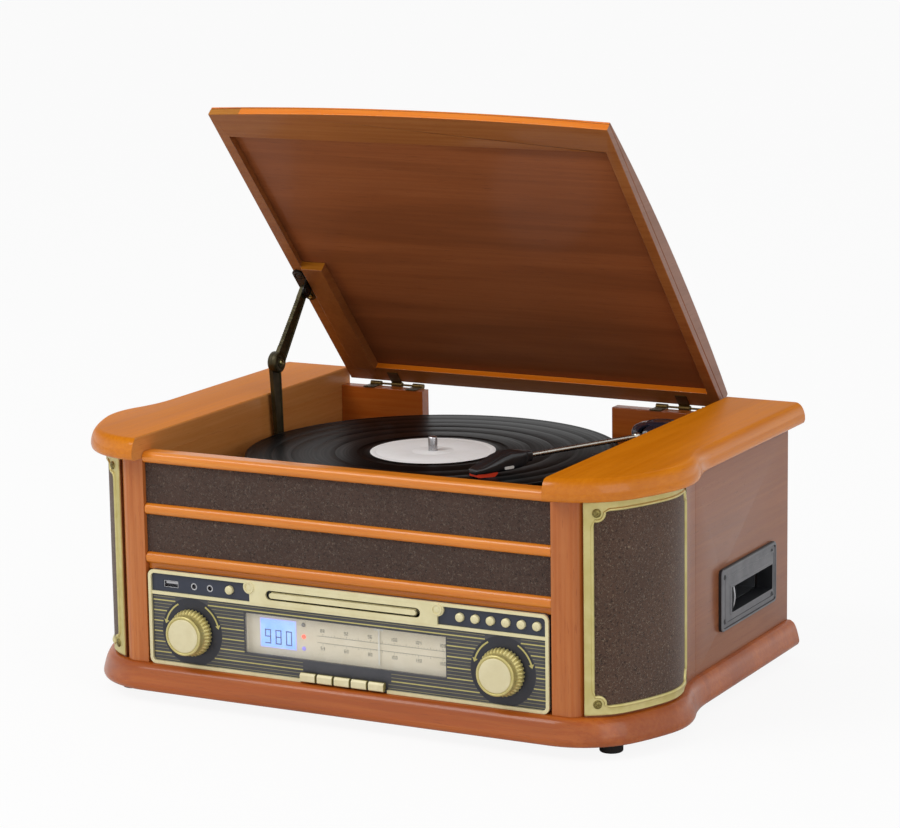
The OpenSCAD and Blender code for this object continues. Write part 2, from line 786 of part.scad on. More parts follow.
// Knob with its shaft; the shaft runs back from the panel face by the given length
module knob(shaft_l) {
    rotate([90, 0, 0]) {
        translate([0, 0, knob_gap]) linear_extrude(flange_l) polygon(cog(knob_teeth, knob_r, 1));
        translate([0, 0, knob_gap]) rotate_extrude($fn = FN) polygon(concat(
            [[0, 0.2], [barrel_r, 0.2], [barrel_r, knob_l - 3]],
            [for (i = [1:6]) [barrel_r - 3 + 3 * cos(15 * i), knob_l - 3 + 3 * sin(15 * i)]],
            [[barrel_r - 3.6, knob_l - 0.8], [barrel_r - 4.4, knob_l - 0.8],
            [barrel_r - 5, knob_l - 0.3], [0, knob_l - 0.3]]));
        translate([0, 0, -shaft_l]) cylinder(r = shaft_r, h = shaft_l + knob_gap + 1, $fn = FN);
    }
}

module volume_knob() {
    place() color("khaki") at_panel(-knob_x, knob_z) knob(14);
}

drum_y = 16;
drum_h = 5;

module tuning_knob() {
    place() color("khaki") at_panel(knob_x, knob_z) {
        knob(drum_y + drum_h + 2);
        translate([0, drum_y + drum_h, 0]) rotate([90, 0, 0]) rotate_extrude($fn = FN) polygon([
            [0, 0], [drum_r + 1.4, 0], [drum_r + 1.4, 1], [drum_r, 1.6], [drum_r, drum_h - 1.6],
            [drum_r + 1.4, drum_h - 1], [drum_r + 1.4, drum_h], [0, drum_h]]);
    }
}

// Rectangular key: crowned cap in front of the panel and a stem with a stop behind it
module source_key(k) {
    place() color("khaki") at_panel(source_x[k], key_z) {
        rotate([90, 0, 90]) linear_extrude(key_w, center = true) polygon([
            [-key_out + 0.6, -key_h / 2], [-key_out, -key_h / 2 + 0.8], [-key_out, key_h / 2 - 1.6],
            [-key_out + 1.6, key_h / 2], [-key_travel - 0.3, key_h / 2], [-key_travel - 0.3, -key_h / 2]]);
        translate([0, (9 - key_travel - 0.4) / 2, 0])
            cube([key_w - 2, 9 + key_travel + 0.4, key_h - 2], center = true);
    }
}

module source_key_1() { source_key(0); }
module source_key_2() { source_key(1); }
module source_key_3() { source_key(2); }
module source_key_4() { source_key(3); }
module source_key_5() { source_key(4); }

// Domed round button with its stem
module round_button(k) {
    place() color("khaki") at_panel(button_xs[k], button_z) rotate([90, 0, 0]) rotate_extrude($fn = 48)
        polygon(concat([[0, -7], [button_r, -7], [button_r, button_out - 1.2]],
            [for (i = [1:5]) [button_r * cos(18 * i), button_out - 1.2 + 1.2 * sin(18 * i)]]));
}

module record_button() { round_button(0); }
module cd_button_1() { round_button(1); }
module cd_button_2() { round_button(2); }
module cd_button_3() { round_button(3); }
module cd_button_4() { round_button(4); }
module cd_button_5() { round_button(5); }
module cd_button_6() { round_button(6); }

board_y = panel_t + 9;

// Front data and audio sockets, and the mains inlet and line sockets at the back
module sockets() {
    place() color("silver") {
        at_panel(usb_x, button_z - 1, 6) difference() {
            cube([13, 11.6, 5.4], center = true);
            translate([0, -1, 0]) cube([12, 11.6, 4.4], center = true);
        }
        at_panel(usb_x, button_z - 0.1, 6.2) cube([10.6, 9.4, 1.6], center = true);
        for (k = [0, 1]) at_panel(jack_x + k * jack_pitch, button_z - 1, 0.4) rotate([-90, 0, 0]) difference() {
            cylinder(r = jack_r - gap / 2, h = 10, $fn = FN);
            translate([0, 0, -1]) cylinder(r = 1.8, h = 10, $fn = FN);
        }
        translate([inlet_x, case_d - back_t - 3, floor_z + inlet_z]) difference() {
            cube([23.6, 17, 17.6], center = true);
            translate([0, 3, 0]) rotate([90, 0, 0]) translate([0, 0, -6]) linear_extrude(14)
                for (s = [-1, 1]) translate([s * 4, 0]) circle(5, $fn = 48);
        }
        for (s = [-1, 1]) translate([inlet_x + 4 * s, case_d - 4, floor_z + inlet_z]) rotate([90, 0, 0])
            cylinder(r = 1.2, h = 12, $fn = 32);
        for (k = [-0.5, 0.5]) translate([line_x + k * line_pitch, case_d + 2, floor_z + line_z])
            rotate([90, 0, 0]) difference() {
                cylinder(r = line_r, h = 16, $fn = FN);
                translate([0, 0, -1]) cylinder(r = 1.6, h = 9, $fn = FN);
            }
    }
}

// ---------------------------------------------------------------- disc tray

module cd_tray() {
    place() color("khaki") {
        at_panel(0, slot_z, -1.2) round_slot(tray_w, tray_t - 0.6, 2.4);
        difference() {
            at_panel(0, slot_z, tray_l / 2 - 0.1) cube([tray_w - 2, tray_l, tray_t], center = true);
            at_panel(0, slot_z + tray_t / 2 - 2, tray_l / 2 + 1) cylinder(r = well_r, h = 4, $fn = FN);
            at_panel(0, slot_z, tray_l / 2 + 1) cylinder(r = 19, h = 20, center = true, $fn = FN);
            at_panel(0, slot_z, tray_l / 2 + 40) cube([38, 80, 20], center = true);
        }
    }
}

deck_half = tray_w / 2 + 5;
cd_deck_l = tray_l + 14;

// Chassis round the tray, with the disc hub and the laser sledge below
module cd_deck() {
    place() color([0.55, 0.56, 0.58]) at_panel(0, slot_z, board_y) {
        difference() {
            translate([-deck_half, 0, -tray_t / 2 - 14]) cube([2 * deck_half, cd_deck_l, tray_t + 24]);
            translate([-deck_half + 3, -1, -tray_t / 2 - 12])
                cube([2 * deck_half - 6, cd_deck_l - 2, tray_t + 20]);
        }
        for (s = [-1, 1]) translate([s * (deck_half - 3 - 3.5) - 3.5 - EPS, 0, -tray_t / 2 - 12 - EPS])
            cube([7, cd_deck_l - 3, 12 - 0.4]);
        for (s = [-1, 1]) translate([s * (deck_half - 1.5) - 1.5, panel_t - board_y + 0.05, -5])
            cube([3, board_y - panel_t + 1, 10]);
        translate([0, tray_l / 2 + 1 - board_y, -tray_t / 2 - 12 - EPS]) cylinder(r = 9, h = 11.4, $fn = FN);
        translate([-14, tray_l / 2 + 16 - board_y, -tray_t / 2 - 12 - EPS]) cube([28, 30, 9]);
    }
}

// ---------------------------------------------------------------- record deck

spindle_x = -spindle_left;
platter_z = deck_z + 1.6;
mat_z = platter_z + platter_h;
record_z = mat_z + mat_t + 0.1;
belt_z = platter_z + 1.4;
motor_a = 200;           // direction of the motor from the spindle
pulley_x = spindle_x + pulley_d * cos(motor_a);
pulley_y = spindle_y + pulley_d * sin(motor_a);

module at_spindle(z) translate([spindle_x, spindle_y, z]) children();

rest_x = arm_x - 4;
rest_y = arm_y - 76;
arm_shaft_r = 4;
lever_x = arm_x - 1.5;
lever_y = 142;
deck_y0 = rail_d + 1;

module deck_plate() {
    place() color([0.07, 0.07, 0.08]) {
        difference() {
            translate([-bay_x + gap, deck_y0, deck_z - deck_t])
                cube([bay_w - 2 * gap, case_d - back_t - gap - deck_y0, deck_t]);
            translate([pulley_x, pulley_y, deck_z]) cylinder(r = 3, h = 20, center = true, $fn = FN);
            at_spindle(deck_z) cylinder(r = spindle_r + run, h = 60, center = true, $fn = FN);
            translate([lever_x, lever_y, deck_z]) cube([4.4, lever_slot, 20], center = true);
            translate([arm_x, arm_y, deck_z]) cylinder(r = arm_shaft_r + run, h = 20, center = true, $fn = FN);
        }
        translate([arm_x, arm_y, deck_z - deck_t - 8]) difference() {
            cylinder(r = 8, h = 8 + EPS, $fn = FN);
            cylinder(r = arm_shaft_r + run, h = 40, center = true, $fn = FN);
        }
        at_spindle(deck_z - deck_t - 14) difference() {
            cylinder(r = 8, h = 14 + EPS, $fn = FN);
            cylinder(r = spindle_r + run, h = 40, center = true, $fn = FN);
        }
        translate([rest_x, rest_y, deck_z - EPS]) {
            cylinder(r1 = 6, r2 = 3.4, h = arm_z - tube_r - 2.2, $fn = FN);
            translate([-4, -3, arm_z - tube_r - 2.4]) cube([12, 6, 2]);
            translate([5.2, -3, arm_z - tube_r - 2.4]) cube([2.8, 6, 9]);
        }
    }
}

module platter() {
    place() color([0.18, 0.18, 0.19]) at_spindle(platter_z) {
        rotate_extrude($fn = 96) polygon([
            [0, 0.2], [14, 0.2], [14, platter_h - 4], [ring_r - 4, platter_h - 4], [ring_r - 4, 0.4],
            [ring_r, 0.4], [ring_r, platter_h - 4], [platter_r - 4, platter_h - 4], [platter_r - 4, 0],
            [platter_r - 1, 0], [platter_r, 1.5], [platter_r, platter_h - 1.5],
            [platter_r - 1.5, platter_h], [0, platter_h]]);
        translate([0, 0, -16]) cylinder(r = spindle_r, h = 17, $fn = FN);
        translate([0, 0, 1]) rotate_extrude($fn = FN) polygon(concat(
            [[0, 0], [spindle_r, 0], [spindle_r, platter_h + mat_t + record_t + spindle_up - 4]],
            [for (i = [1:6]) [spindle_r * cos(15 * i),
                platter_h + mat_t + record_t + spindle_up - 4 + spindle_r * sin(15 * i)]]));
    }
}

module platter_mat() {
    place() color([0.1, 0.1, 0.1]) at_spindle(mat_z + 0.05) rotate_extrude($fn = 96) polygon([
        [spindle_r + 0.2, 0], [platter_r - 2, 0], [platter_r - 2, mat_t - 0.6], [platter_r - 2.6, mat_t],
        [52, mat_t], [51, mat_t - 0.6], [spindle_r + 0.2, mat_t - 0.6]]);
}

module record() {
    label_r = 50;
    place() color([0.08, 0.08, 0.09]) at_spindle(record_z) rotate_extrude($fn = 128) polygon([
        [spindle_r + 0.05, 0], [label_r + 3, 0], [label_r + 4, 0.3], [record_r - 4, 0.3],
        [record_r - 3, 0], [record_r - 0.5, 0], [record_r, 0.5], [record_r, record_t - 0.5],
        [record_r - 0.5, record_t], [record_r - 3, record_t], [record_r - 4, record_t - 0.3],
        [label_r + 4, record_t - 0.3], [label_r + 3, record_t], [spindle_r + 0.05, record_t]]);
}

motor_r = 18;
motor_h = 24;

module drive_motor() {
    place() color("silver") translate([pulley_x, pulley_y, 0]) difference() {
        union() {
            translate([0, 0, deck_z - deck_t - gap / 2 - motor_h]) cylinder(r = motor_r, h = motor_h, $fn = FN);
            translate([0, 0, deck_z - deck_t - gap / 2 - motor_h - 3]) cylinder(r = 6, h = 4, $fn = FN);
        }
        translate([0, 0, deck_z - deck_t - 12]) cylinder(r = 1 + run, h = 20, $fn = FN);
    }
}

module motor_pulley() {
    place() color("gold") translate([pulley_x, pulley_y, 0]) {
        translate([0, 0, deck_z + 0.5]) rotate_extrude($fn = FN) polygon([
            [0, 0], [pulley_r + 1.2, 0], [pulley_r + 1.2, 0.8], [pulley_r, 1.2],
            [pulley_r, 1.2 + belt_h + 1.6], [pulley_r + 1.2, 3.6 + belt_h], [0, 3.6 + belt_h]]);
        translate([0, 0, deck_z - deck_t - 11]) cylinder(r = 1, h = deck_t + 12, $fn = FN);
    }
}

belt_clear = 0.3;

// Points of a loop round a large and a small wheel, grown by an edge
function belt_points(e) = let (r1 = ring_r + e, r2 = pulley_r + e, a = acos((ring_r - pulley_r) / pulley_d))
    concat([for (i = [0:72]) let (t = a + (360 - 2 * a) * i / 72) r1 * [cos(t), sin(t)]],
        [for (i = [0:12]) let (t = -a + 2 * a * i / 12) [pulley_d + r2 * cos(t), r2 * sin(t)]]);

module drive_belt() {
    place() color([0.05, 0.05, 0.05]) at_spindle(belt_z) rotate([0, 0, motor_a]) linear_extrude(belt_h)
        difference() {
            polygon(belt_points(belt_clear + belt_t));
            polygon(belt_points(belt_clear));
        }
}

lever_slot = 18;

lever_up = 31;

module speed_switch() {
    place() color([0.12, 0.12, 0.13]) translate([lever_x, lever_y, 0]) {
        translate([-2, -3, deck_z - deck_t - 2]) cube([4, 6, deck_t + 2.5 + EPS]);
        translate([-4, -4.5, deck_z + 0.4]) cube([8, 9, 3]);
        translate([-1.5, -3, deck_z + 3]) cube([3, 6, lever_up - 2]);
        translate([-3, -4.5, deck_z + lever_up]) cube([6, 9, 5]);
        translate([-3.6, -4.4, deck_z - deck_t - 3.4]) cube([7.2, 8.8, 3]);
    }
}

// ---------------------------------------------------------------- tonearm

module at_arm() translate([arm_x, arm_y, 0]) rotate([0, 0, -arm_turn]) children();

hub_r = 4.4;
cheek_in = 8;
cheek_t = 3.5;
cheek_up = 7.2;
cheek_down = 9.2;
pivot_r = 1.5;
tube_z = deck_z + arm_z;

module tonearm_turret() {
    place() color([0.06, 0.06, 0.07]) at_arm() {
        translate([0, 0, deck_z + 0.4]) cylinder(r = turret_r, h = 8, $fn = FN);
        translate([0, 0, deck_z + 8]) cylinder(r1 = turret_r - 2, r2 = cheek_in + 1.5,
            h = arm_z - 8 - cheek_down + 1, $fn = FN);
        translate([0, 0, deck_z - deck_t - 8]) cylinder(r = arm_shaft_r, h = deck_t + 9, $fn = FN);
        difference() {
            union() {
                for (s = [-1, 1])
                    translate([s * (cheek_in + cheek_t / 2) - cheek_t / 2, -10, tube_z - cheek_down])
                        cube([cheek_t, 20, cheek_down + cheek_up]);
                translate([-cheek_in - cheek_t, -10, tube_z - cheek_down])
                    cube([2 * (cheek_in + cheek_t), 20, 3]);
                translate([0, 0, tube_z + cheek_up - 2.4]) intersection() {
                    cylinder(r = turret_r - 1, h = 2.4, $fn = FN);
                    translate([-cheek_in - cheek_t, -7, 0]) cube([2 * (cheek_in + cheek_t), 2 * turret_r, 9]);
                }
            }
            translate([0, 0, tube_z]) rotate([0, 90, 0])
                cylinder(r = pivot_r + run, h = 60, center = true, $fn = FN);
        }
    }
}

shell_y = -(arm_l + 8);
joint_y = shell_y + shell_l;

module tonearm() {
    place() color("silver") at_arm() translate([0, 0, tube_z]) {
        rotate([0, 90, 0]) cylinder(r = hub_r, h = 2 * cheek_in - 0.6, center = true, $fn = FN);
        rotate([0, 90, 0]) cylinder(r = pivot_r, h = 2 * (cheek_in + cheek_t) - 0.4, center = true, $fn = FN);
        rotate([90, 0, 0]) cylinder(r = tube_r, h = -joint_y + 6, $fn = FN);
    }
}

shell_w = 21;

// Plan of the headshell: parallel behind, widest two thirds along, rounded nose
function shell_half(t) = 4.5 + (shell_w / 2 - 4.5) * pow(sin(min(1, 0.08 + t * 1.05) * 90), 1.4)
    - (t > 0.86 ? 22 * pow(t - 0.86, 1.25) : 0);

module headshell() {
    n = 14;
    right = [for (i = [0:n]) let (t = i / n) [shell_half(t), joint_y - t * shell_l]];
    place() color([0.08, 0.08, 0.09]) at_arm() difference() {
        union() {
            translate([0, 0, tube_z - 5.4]) linear_extrude(9)
                polygon(concat(right, [for (p = reversed(right)) [-p[0], p[1]]]));
            translate([0, joint_y + 7, tube_z]) rotate([90, 0, 0]) cylinder(r = 4.4, h = 12, $fn = FN);
            translate([6, shell_y + 20, tube_z - 1]) cube([13, 5, 1.8]);
        }
        translate([0, joint_y + 8, tube_z]) rotate([90, 0, 0])
            cylinder(r = tube_r + gap / 10, h = 14.1, $fn = FN);
        translate([-50, shell_y - 10, tube_z - 2]) rotate([6, 0, 0]) translate([0, 0, 0.8]) cube([100, 60, 20]);
        translate([-4.6, shell_y + 3, tube_z - 8]) cube([9.2, 24, 6]);
    }
}

stylus_z = record_z + record_t + 0.3;

module cartridge() {
    place() color("orangered") at_arm() {
        translate([-4.4, shell_y + 3.2, tube_z - 7.6]) cube([8.8, 23.6, 5.4]);
        translate([-3, -arm_l - 4, stylus_z + 1.2])
            cube([6, 10, tube_z - 7.5 - stylus_z - 1.2]);
        translate([0, -arm_l, stylus_z]) cylinder(r1 = 0.4, r2 = 1.2, h = tube_z - 7 - stylus_z, $fn = 24);
    }
}

// ---------------------------------------------------------------- lid

// Lid frame of reference: +Y runs from the hinge line to the front edge, Z up from the hinge
// line, as the lid lies shut. Children are turned up to the open angle.
module on_lid() {
    translate([0, hinge_y, hinge_z]) rotate([-lid_open, 0, 0]) mirror([0, 1, 0]) children();
}

under = hinge_gap / 2;

module dome_body(z0) {
    bow_r = (pow(lid_w / 2, 2) + lid_bow * lid_bow) / (2 * lid_bow);
    intersection() {
        translate([-lid_w / 2, rear_gap, z0]) cube([lid_w, lid_l + lid_bow, 60]);
        translate([0, crown_at, under + lid_t - dome_r]) rotate([0, 90, 0])
            cylinder(r = dome_r, h = 800, center = true, $fn = 720);
        translate([0, lid_l + lid_bow - bow_r, -20]) cylinder(r = bow_r, h = 100, $fn = 720);
    }
}

module lid_panel() {
    place() color("sienna") on_lid() dome_body(under + frame_t);
}

stay_x = -(bay_x - 8);
stay_block_w = 15;
stay_block_l = 120;

module lid_frame() {
    place() color("saddlebrown") on_lid() {
        difference() {
            intersection() {
                dome_body(under);
                translate([-300, -10, under]) cube([600, 400, frame_t - gap / 4]);
            }
            translate([-lid_w / 2 + frame_side, frame_side + 4, -1])
                cube([lid_w - 2 * frame_side, lid_l - frame_side - 4 - frame_front, 40]);
        }
        translate([-lid_w / 2 + frame_side - 1, frame_side + 4, under - 3])
            cube([stay_block_w + 1, stay_block_l, frame_t + 3 - gap / 4]);
    }
}

knuckle_l = 10;
knuckle_gap = 10.5;
leaf_t = 0.8;
leaf_w = 15;
hinge_xs = [-bay_x + 22, bay_x - 62];
hinge_l = 3 * knuckle_l + 2 * knuckle_gap;

module knuckles(ks, r) {
    for (k = ks) translate([k * (knuckle_l + knuckle_gap), 0, 0]) rotate([0, 90, 0])
        cylinder(r = r, h = knuckle_l, $fn = 48);
}

module hinge_case_leaves() {
    place() color("darkgoldenrod") for (x = hinge_xs) translate([x, hinge_y, hinge_z]) {
        knuckles([0, 2], barrel_hinge_r);
        for (k = [0, 2]) translate([k * (knuckle_l + knuckle_gap), -leaf_w, -under + 0.05])
            cube([knuckle_l, leaf_w, leaf_t]);
        rotate([0, 90, 0]) cylinder(r = pin_r, h = hinge_l, $fn = 48);
    }
}

module hinge_lid_leaves() {
    place() color("darkgoldenrod") translate([0, hinge_y, hinge_z]) rotate([-lid_open, 0, 0])
        for (x = hinge_xs) translate([x, 0, 0]) difference() {
            union() {
                knuckles([1], barrel_hinge_r);
                translate([knuckle_l + knuckle_gap, -leaf_w, under - leaf_t - 0.05])
                    cube([knuckle_l, leaf_w, leaf_t]);
            }
            translate([-1, 0, 0]) rotate([0, 90, 0]) cylinder(r = pin_r + run, h = hinge_l + 2, $fn = 48);
        }
}

// ---------------------------------------------------------------- lid stay

// Pivots in the Y-Z plane: on the lid, on the wall, and the knuckle between the two arms
lid_dir = [-cos(lid_open), sin(lid_open)];
lid_nrm = [sin(lid_open), cos(lid_open)];
pivot_lid = [hinge_y, hinge_z] + stay_s * lid_dir + (under - stay_drop) * lid_nrm;
pivot_wall = [stay_wall_y, floor_z + stay_wall_z];
stay_gap = norm(pivot_lid - pivot_wall);
stay_dir = (pivot_lid - pivot_wall) / stay_gap;
stay_along = (lower_l * lower_l - upper_l * upper_l + stay_gap * stay_gap) / (2 * stay_gap);
stay_off = sqrt(max(0, lower_l * lower_l - stay_along * stay_along));
knuckle = pivot_wall + stay_along * stay_dir + stay_off * [-stay_dir[1], stay_dir[0]];
rivet_r = 2;

function heading_of(v) = atan2(v[1], v[0]);

// Flat bar between two pivots in the plane x, with round ends
module stay_bar(p, q, x, hole_p, hole_q) {
    l = norm(q - p);
    translate([x, p[0], p[1]]) rotate([heading_of(q - p), 0, 0]) rotate([90, 0, 90])
        linear_extrude(stay_t) difference() {
            union() {
                translate([0, -stay_w / 2]) square([l, stay_w]);
                circle(stay_w / 2 + 1, $fn = 48);
                translate([l, 0]) circle(stay_w / 2 + 1, $fn = 48);
            }
            if (hole_p) circle(rivet_r + run, $fn = 48);
            if (hole_q) translate([l, 0]) circle(rivet_r + run, $fn = 48);
        }
}

module stay_rivet(p, x, l, head_at) {
    translate([x, p[0], p[1]]) rotate([0, 90, 0]) cylinder(r = rivet_r, h = l, $fn = 48);
    translate([head_at, p[0], p[1]]) rotate([0, 90, 0]) cylinder(r = 4, h = 1.4, $fn = 48);
}

lower_x = stay_x - stay_t - 0.2;
upper_x = stay_x + 0.2;

module stay_lower_arm() {
    place() color([0.3, 0.27, 0.15]) {
        stay_bar(pivot_wall, knuckle, lower_x, true, false);
        translate([lower_x - 1.4, knuckle[0], knuckle[1]]) rotate([0, 90, 0])
            cylinder(r1 = 4, r2 = 5.1, h = 1.41, $fn = 48);
    }
}

module stay_upper_arm() {
    place() color([0.3, 0.27, 0.15]) {
        stay_bar(knuckle, pivot_lid, upper_x, false, true);
        translate([upper_x + stay_t - EPS, knuckle[0], knuckle[1]]) rotate([0, 90, 0])
            cylinder(r1 = 5.1, r2 = 4, h = 2.2, $fn = 48);
    }
}

// Plate on the bay wall with the rivet that carries the lower arm
module stay_wall_bracket() {
    place() color([0.3, 0.27, 0.15]) {
        translate([-bay_x + 0.1, pivot_wall[0] - 12, pivot_wall[1] - 5.5]) cube([2, 24, 11.4]);
        stay_rivet(pivot_wall, -bay_x + 2, lower_x + stay_t + 0.6 + bay_x - 2, lower_x + stay_t + 0.3);
        translate([-bay_x + 2, pivot_wall[0], pivot_wall[1]]) rotate([0, 90, 0])
            cylinder(r = 4, h = lower_x - 0.3 + bay_x - 2, $fn = 48);
    }
}

// Angle plate screwed to the lid frame, with the rivet that carries the upper arm
module stay_lid_bracket() {
    tab_x = upper_x + stay_t + 0.3;
    place() color([0.3, 0.27, 0.15]) {
        on_lid() {
            translate([tab_x, stay_s - 7, under - stay_drop - 5]) cube([1.6, 14, stay_drop + 5 - 0.1]);
            translate([tab_x - 4, stay_s - 16, under - 1.5]) cube([5.6, 32, 1.4]);
        }
        translate([upper_x - 0.15, pivot_lid[0], pivot_lid[1]]) rotate([0, 90, 0])
            cylinder(r = rivet_r, h = stay_t + 1.2, $fn = 48);
    }
}

// ---------------------------------------------------------------- cassette bay

bezel_y = case_d - bezel_back - bezel_l;
bezel_mid_y = bezel_y + bezel_l / 2;
bezel_mid_z = floor_z + bezel_z + bezel_h / 2;
mouth_y0 = bezel_y + 21;
mouth_z0 = bezel_mid_z - mouth_h / 2 - 3;
lever_l = 9;
slide_gap = 0.3;

module cassette_bezel() {
    place() color([0.1, 0.1, 0.11]) difference() {
        union() {
            translate([wall_x + bezel_t / 2, bezel_mid_y, bezel_mid_z]) rotate([0, 0, 90])
                rounded_plate(bezel_l, bezel_h, 4, bezel_t - gap / 2);
            translate([wall_x - wall_t + 0.1, mouth_y0 - 1.6, mouth_z0 - 1.6])
                cube([wall_t + 1, mouth_l + 3.2, mouth_h + 3.2]);
        }
        translate([wall_x - wall_t, mouth_y0, mouth_z0]) cube([wall_t + 10, mouth_l, mouth_h]);
        translate([wall_x + bezel_t - 0.8, 0, 0]) difference() {
            translate([0, bezel_y + 3, floor_z + bezel_z + 3]) cube([3, bezel_l - 6, bezel_h - 6]);
            translate([-1, bezel_y + 4, floor_z + bezel_z + 4]) cube([5, bezel_l - 8, bezel_h - 8]);
        }
    }
}

channel_y0 = mouth_y0 + lever_l + 1.6;
channel_w = mouth_l - lever_l - 3.2;
chassis_t = 2.5;

// Chassis with the cassette channel, the two reel spindles and the head block
module cassette_deck() {
    place() color([0.5, 0.51, 0.53]) {
        difference() {
            translate([wall_x - wall_t - well_depth, mouth_y0 - chassis_t, mouth_z0 - 12])
                cube([well_depth - gap, mouth_l + 2 * chassis_t, mouth_h + 18]);
            translate([wall_x - wall_t - well_depth + chassis_t, channel_y0, mouth_z0 + EPS])
                cube([well_depth + 20, channel_w, mouth_h - 1]);
            translate([wall_x - wall_t - 14, mouth_y0 + 0.4, mouth_z0 + 0.4])
                cube([30, lever_l + 2 * slide_gap, mouth_h - 0.8]);
        }
        for (k = [0, 1]) translate([wall_x - wall_t - 30 - 42.5 * k, channel_y0 + channel_w / 2, mouth_z0])
            cylinder(r1 = 3.6, r2 = 3, h = 3.2, $fn = 24);
    }
}

// Sliding lever in its well, with a finger ridge along its inner edge
module eject_lever() {
    place() color("silver") translate([0, mouth_y0 + 0.4 + slide_gap, mouth_z0 + 0.4 + slide_gap]) {
        translate([wall_x - wall_t - 4, 0, 0]) cube([wall_t + 2, lever_l, mouth_h - 0.8 - 2 * slide_gap]);
        translate([wall_x - 2.2, lever_l - 2, 0]) cube([2.2, 2, mouth_h - 0.8 - 2 * slide_gap]);
    }
}

// ---------------------------------------------------------------- board

module main_board() {
    board_z = floor_z + 7;
    board_w = bay_w * 0.62;
    board_x = -bay_x + 36;
    place() color("darkgreen") {
        translate([board_x, 60, board_z]) cube([board_w, 150, 1.6]);
        for (x = [board_x + 6, board_x + board_w - 6]) for (y = [66, 204]) translate([x, y, floor_z + 0.1])
            cylinder(r = 3, h = 6.9 + EPS, $fn = 32);
        for (k = [0:3]) translate([board_x + 20 + 26 * k, 90, board_z + 1.5]) cylinder(r = 6, h = 16, $fn = 32);
        translate([board_x + 120, 130, board_z + 1.5]) cube([50, 34, 4]);
        translate([board_x + 20, 150, board_z + 1.5]) cube([70, 6, 24]);
        for (k = [0:6]) translate([board_x + 22 + 10 * k, 155.9, board_z + 1.5]) cube([2, 14, 24]);
    }
    place() color("dimgray") {
        translate([110, 225, floor_z + 0.1]) cube([52, 44, 4]);
        translate([114, 229, floor_z + 4]) cube([44, 36, 15]);
    }
}

plinth();
feet();
side_boards();
speaker_pods();
front_frame();
caps();
back_panel();
hinge_blocks();
cloth_strips();
grille_cloths();
grille_frames();
grille_screws();
speakers();
panel_plate();
panel_trim();
dial_window();
dial_scale();
lcd_display();
dial_pointer();
volume_knob();
tuning_knob();
source_key_1();
source_key_2();
source_key_3();
source_key_4();
source_key_5();
record_button();
cd_button_1();
cd_button_2();
cd_button_3();
cd_button_4();
cd_button_5();
cd_button_6();
sockets();
cd_tray();
cd_deck();
deck_plate();
platter();
platter_mat();
record();
drive_motor();
motor_pulley();
drive_belt();
tonearm_turret();
tonearm();
headshell();
cartridge();
lid_panel();
lid_frame();
hinge_case_leaves();
hinge_lid_leaves();
stay_wall_bracket();
stay_lid_bracket();
stay_lower_arm();
stay_upper_arm();
cassette_bezel();
cassette_deck();
eject_lever();
main_board();
speed_switch();
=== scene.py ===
"""Dressed view of a wooden stereo music centre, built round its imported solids."""
import json
import logging
from dataclasses import dataclass
from enum import Enum
from functools import lru_cache
from math import cos, pi, radians, sin, sqrt
from typing import Callable, Iterable, Optional, Sequence

import bmesh
import bpy
import numpy as np
from mathutils import Matrix, Vector

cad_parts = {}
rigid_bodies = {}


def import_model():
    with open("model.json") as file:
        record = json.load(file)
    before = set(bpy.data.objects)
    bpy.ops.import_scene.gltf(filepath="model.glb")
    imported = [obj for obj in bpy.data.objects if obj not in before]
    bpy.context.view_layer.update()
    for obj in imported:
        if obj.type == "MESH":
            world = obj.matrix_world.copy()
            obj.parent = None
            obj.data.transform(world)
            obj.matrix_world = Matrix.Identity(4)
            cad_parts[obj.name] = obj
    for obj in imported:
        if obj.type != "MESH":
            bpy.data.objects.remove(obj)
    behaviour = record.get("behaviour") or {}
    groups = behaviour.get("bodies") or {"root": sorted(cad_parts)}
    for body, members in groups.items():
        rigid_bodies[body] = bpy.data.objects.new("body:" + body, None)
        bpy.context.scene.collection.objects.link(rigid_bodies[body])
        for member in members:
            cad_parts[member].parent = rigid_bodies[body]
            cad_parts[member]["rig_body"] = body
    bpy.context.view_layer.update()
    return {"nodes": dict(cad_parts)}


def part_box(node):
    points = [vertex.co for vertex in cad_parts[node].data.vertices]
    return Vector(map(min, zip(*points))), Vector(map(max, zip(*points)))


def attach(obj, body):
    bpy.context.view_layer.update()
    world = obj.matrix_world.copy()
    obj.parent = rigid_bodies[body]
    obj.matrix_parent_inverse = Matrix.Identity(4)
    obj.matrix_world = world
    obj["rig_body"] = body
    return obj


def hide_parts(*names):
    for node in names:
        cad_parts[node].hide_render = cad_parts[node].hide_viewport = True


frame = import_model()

log = logging.getLogger("music_centre")
MM = 0.001
# Least share of a normal along a direction at which a face counts as looking that way
FACING = 0.7
Point = Sequence[float]
Colour = tuple[float, float, float, float]


def rgb(code: str) -> Colour:
    """Linear colour of a hexadecimal sRGB code.

    Args:
        code: The code, with # before its six digits.

    Returns:
        Red, green, blue and an alpha of one.
    """
    values = [int(code[i:i + 2], 16) / 255 for i in (1, 3, 5)]
    linear = [v / 12.92 if v <= 0.04045 else ((v + 0.055) / 1.055) ** 2.4 for v in values]
    return (linear[0], linear[1], linear[2], 1.0)


# ---------------------------------------------------------------- shader maths


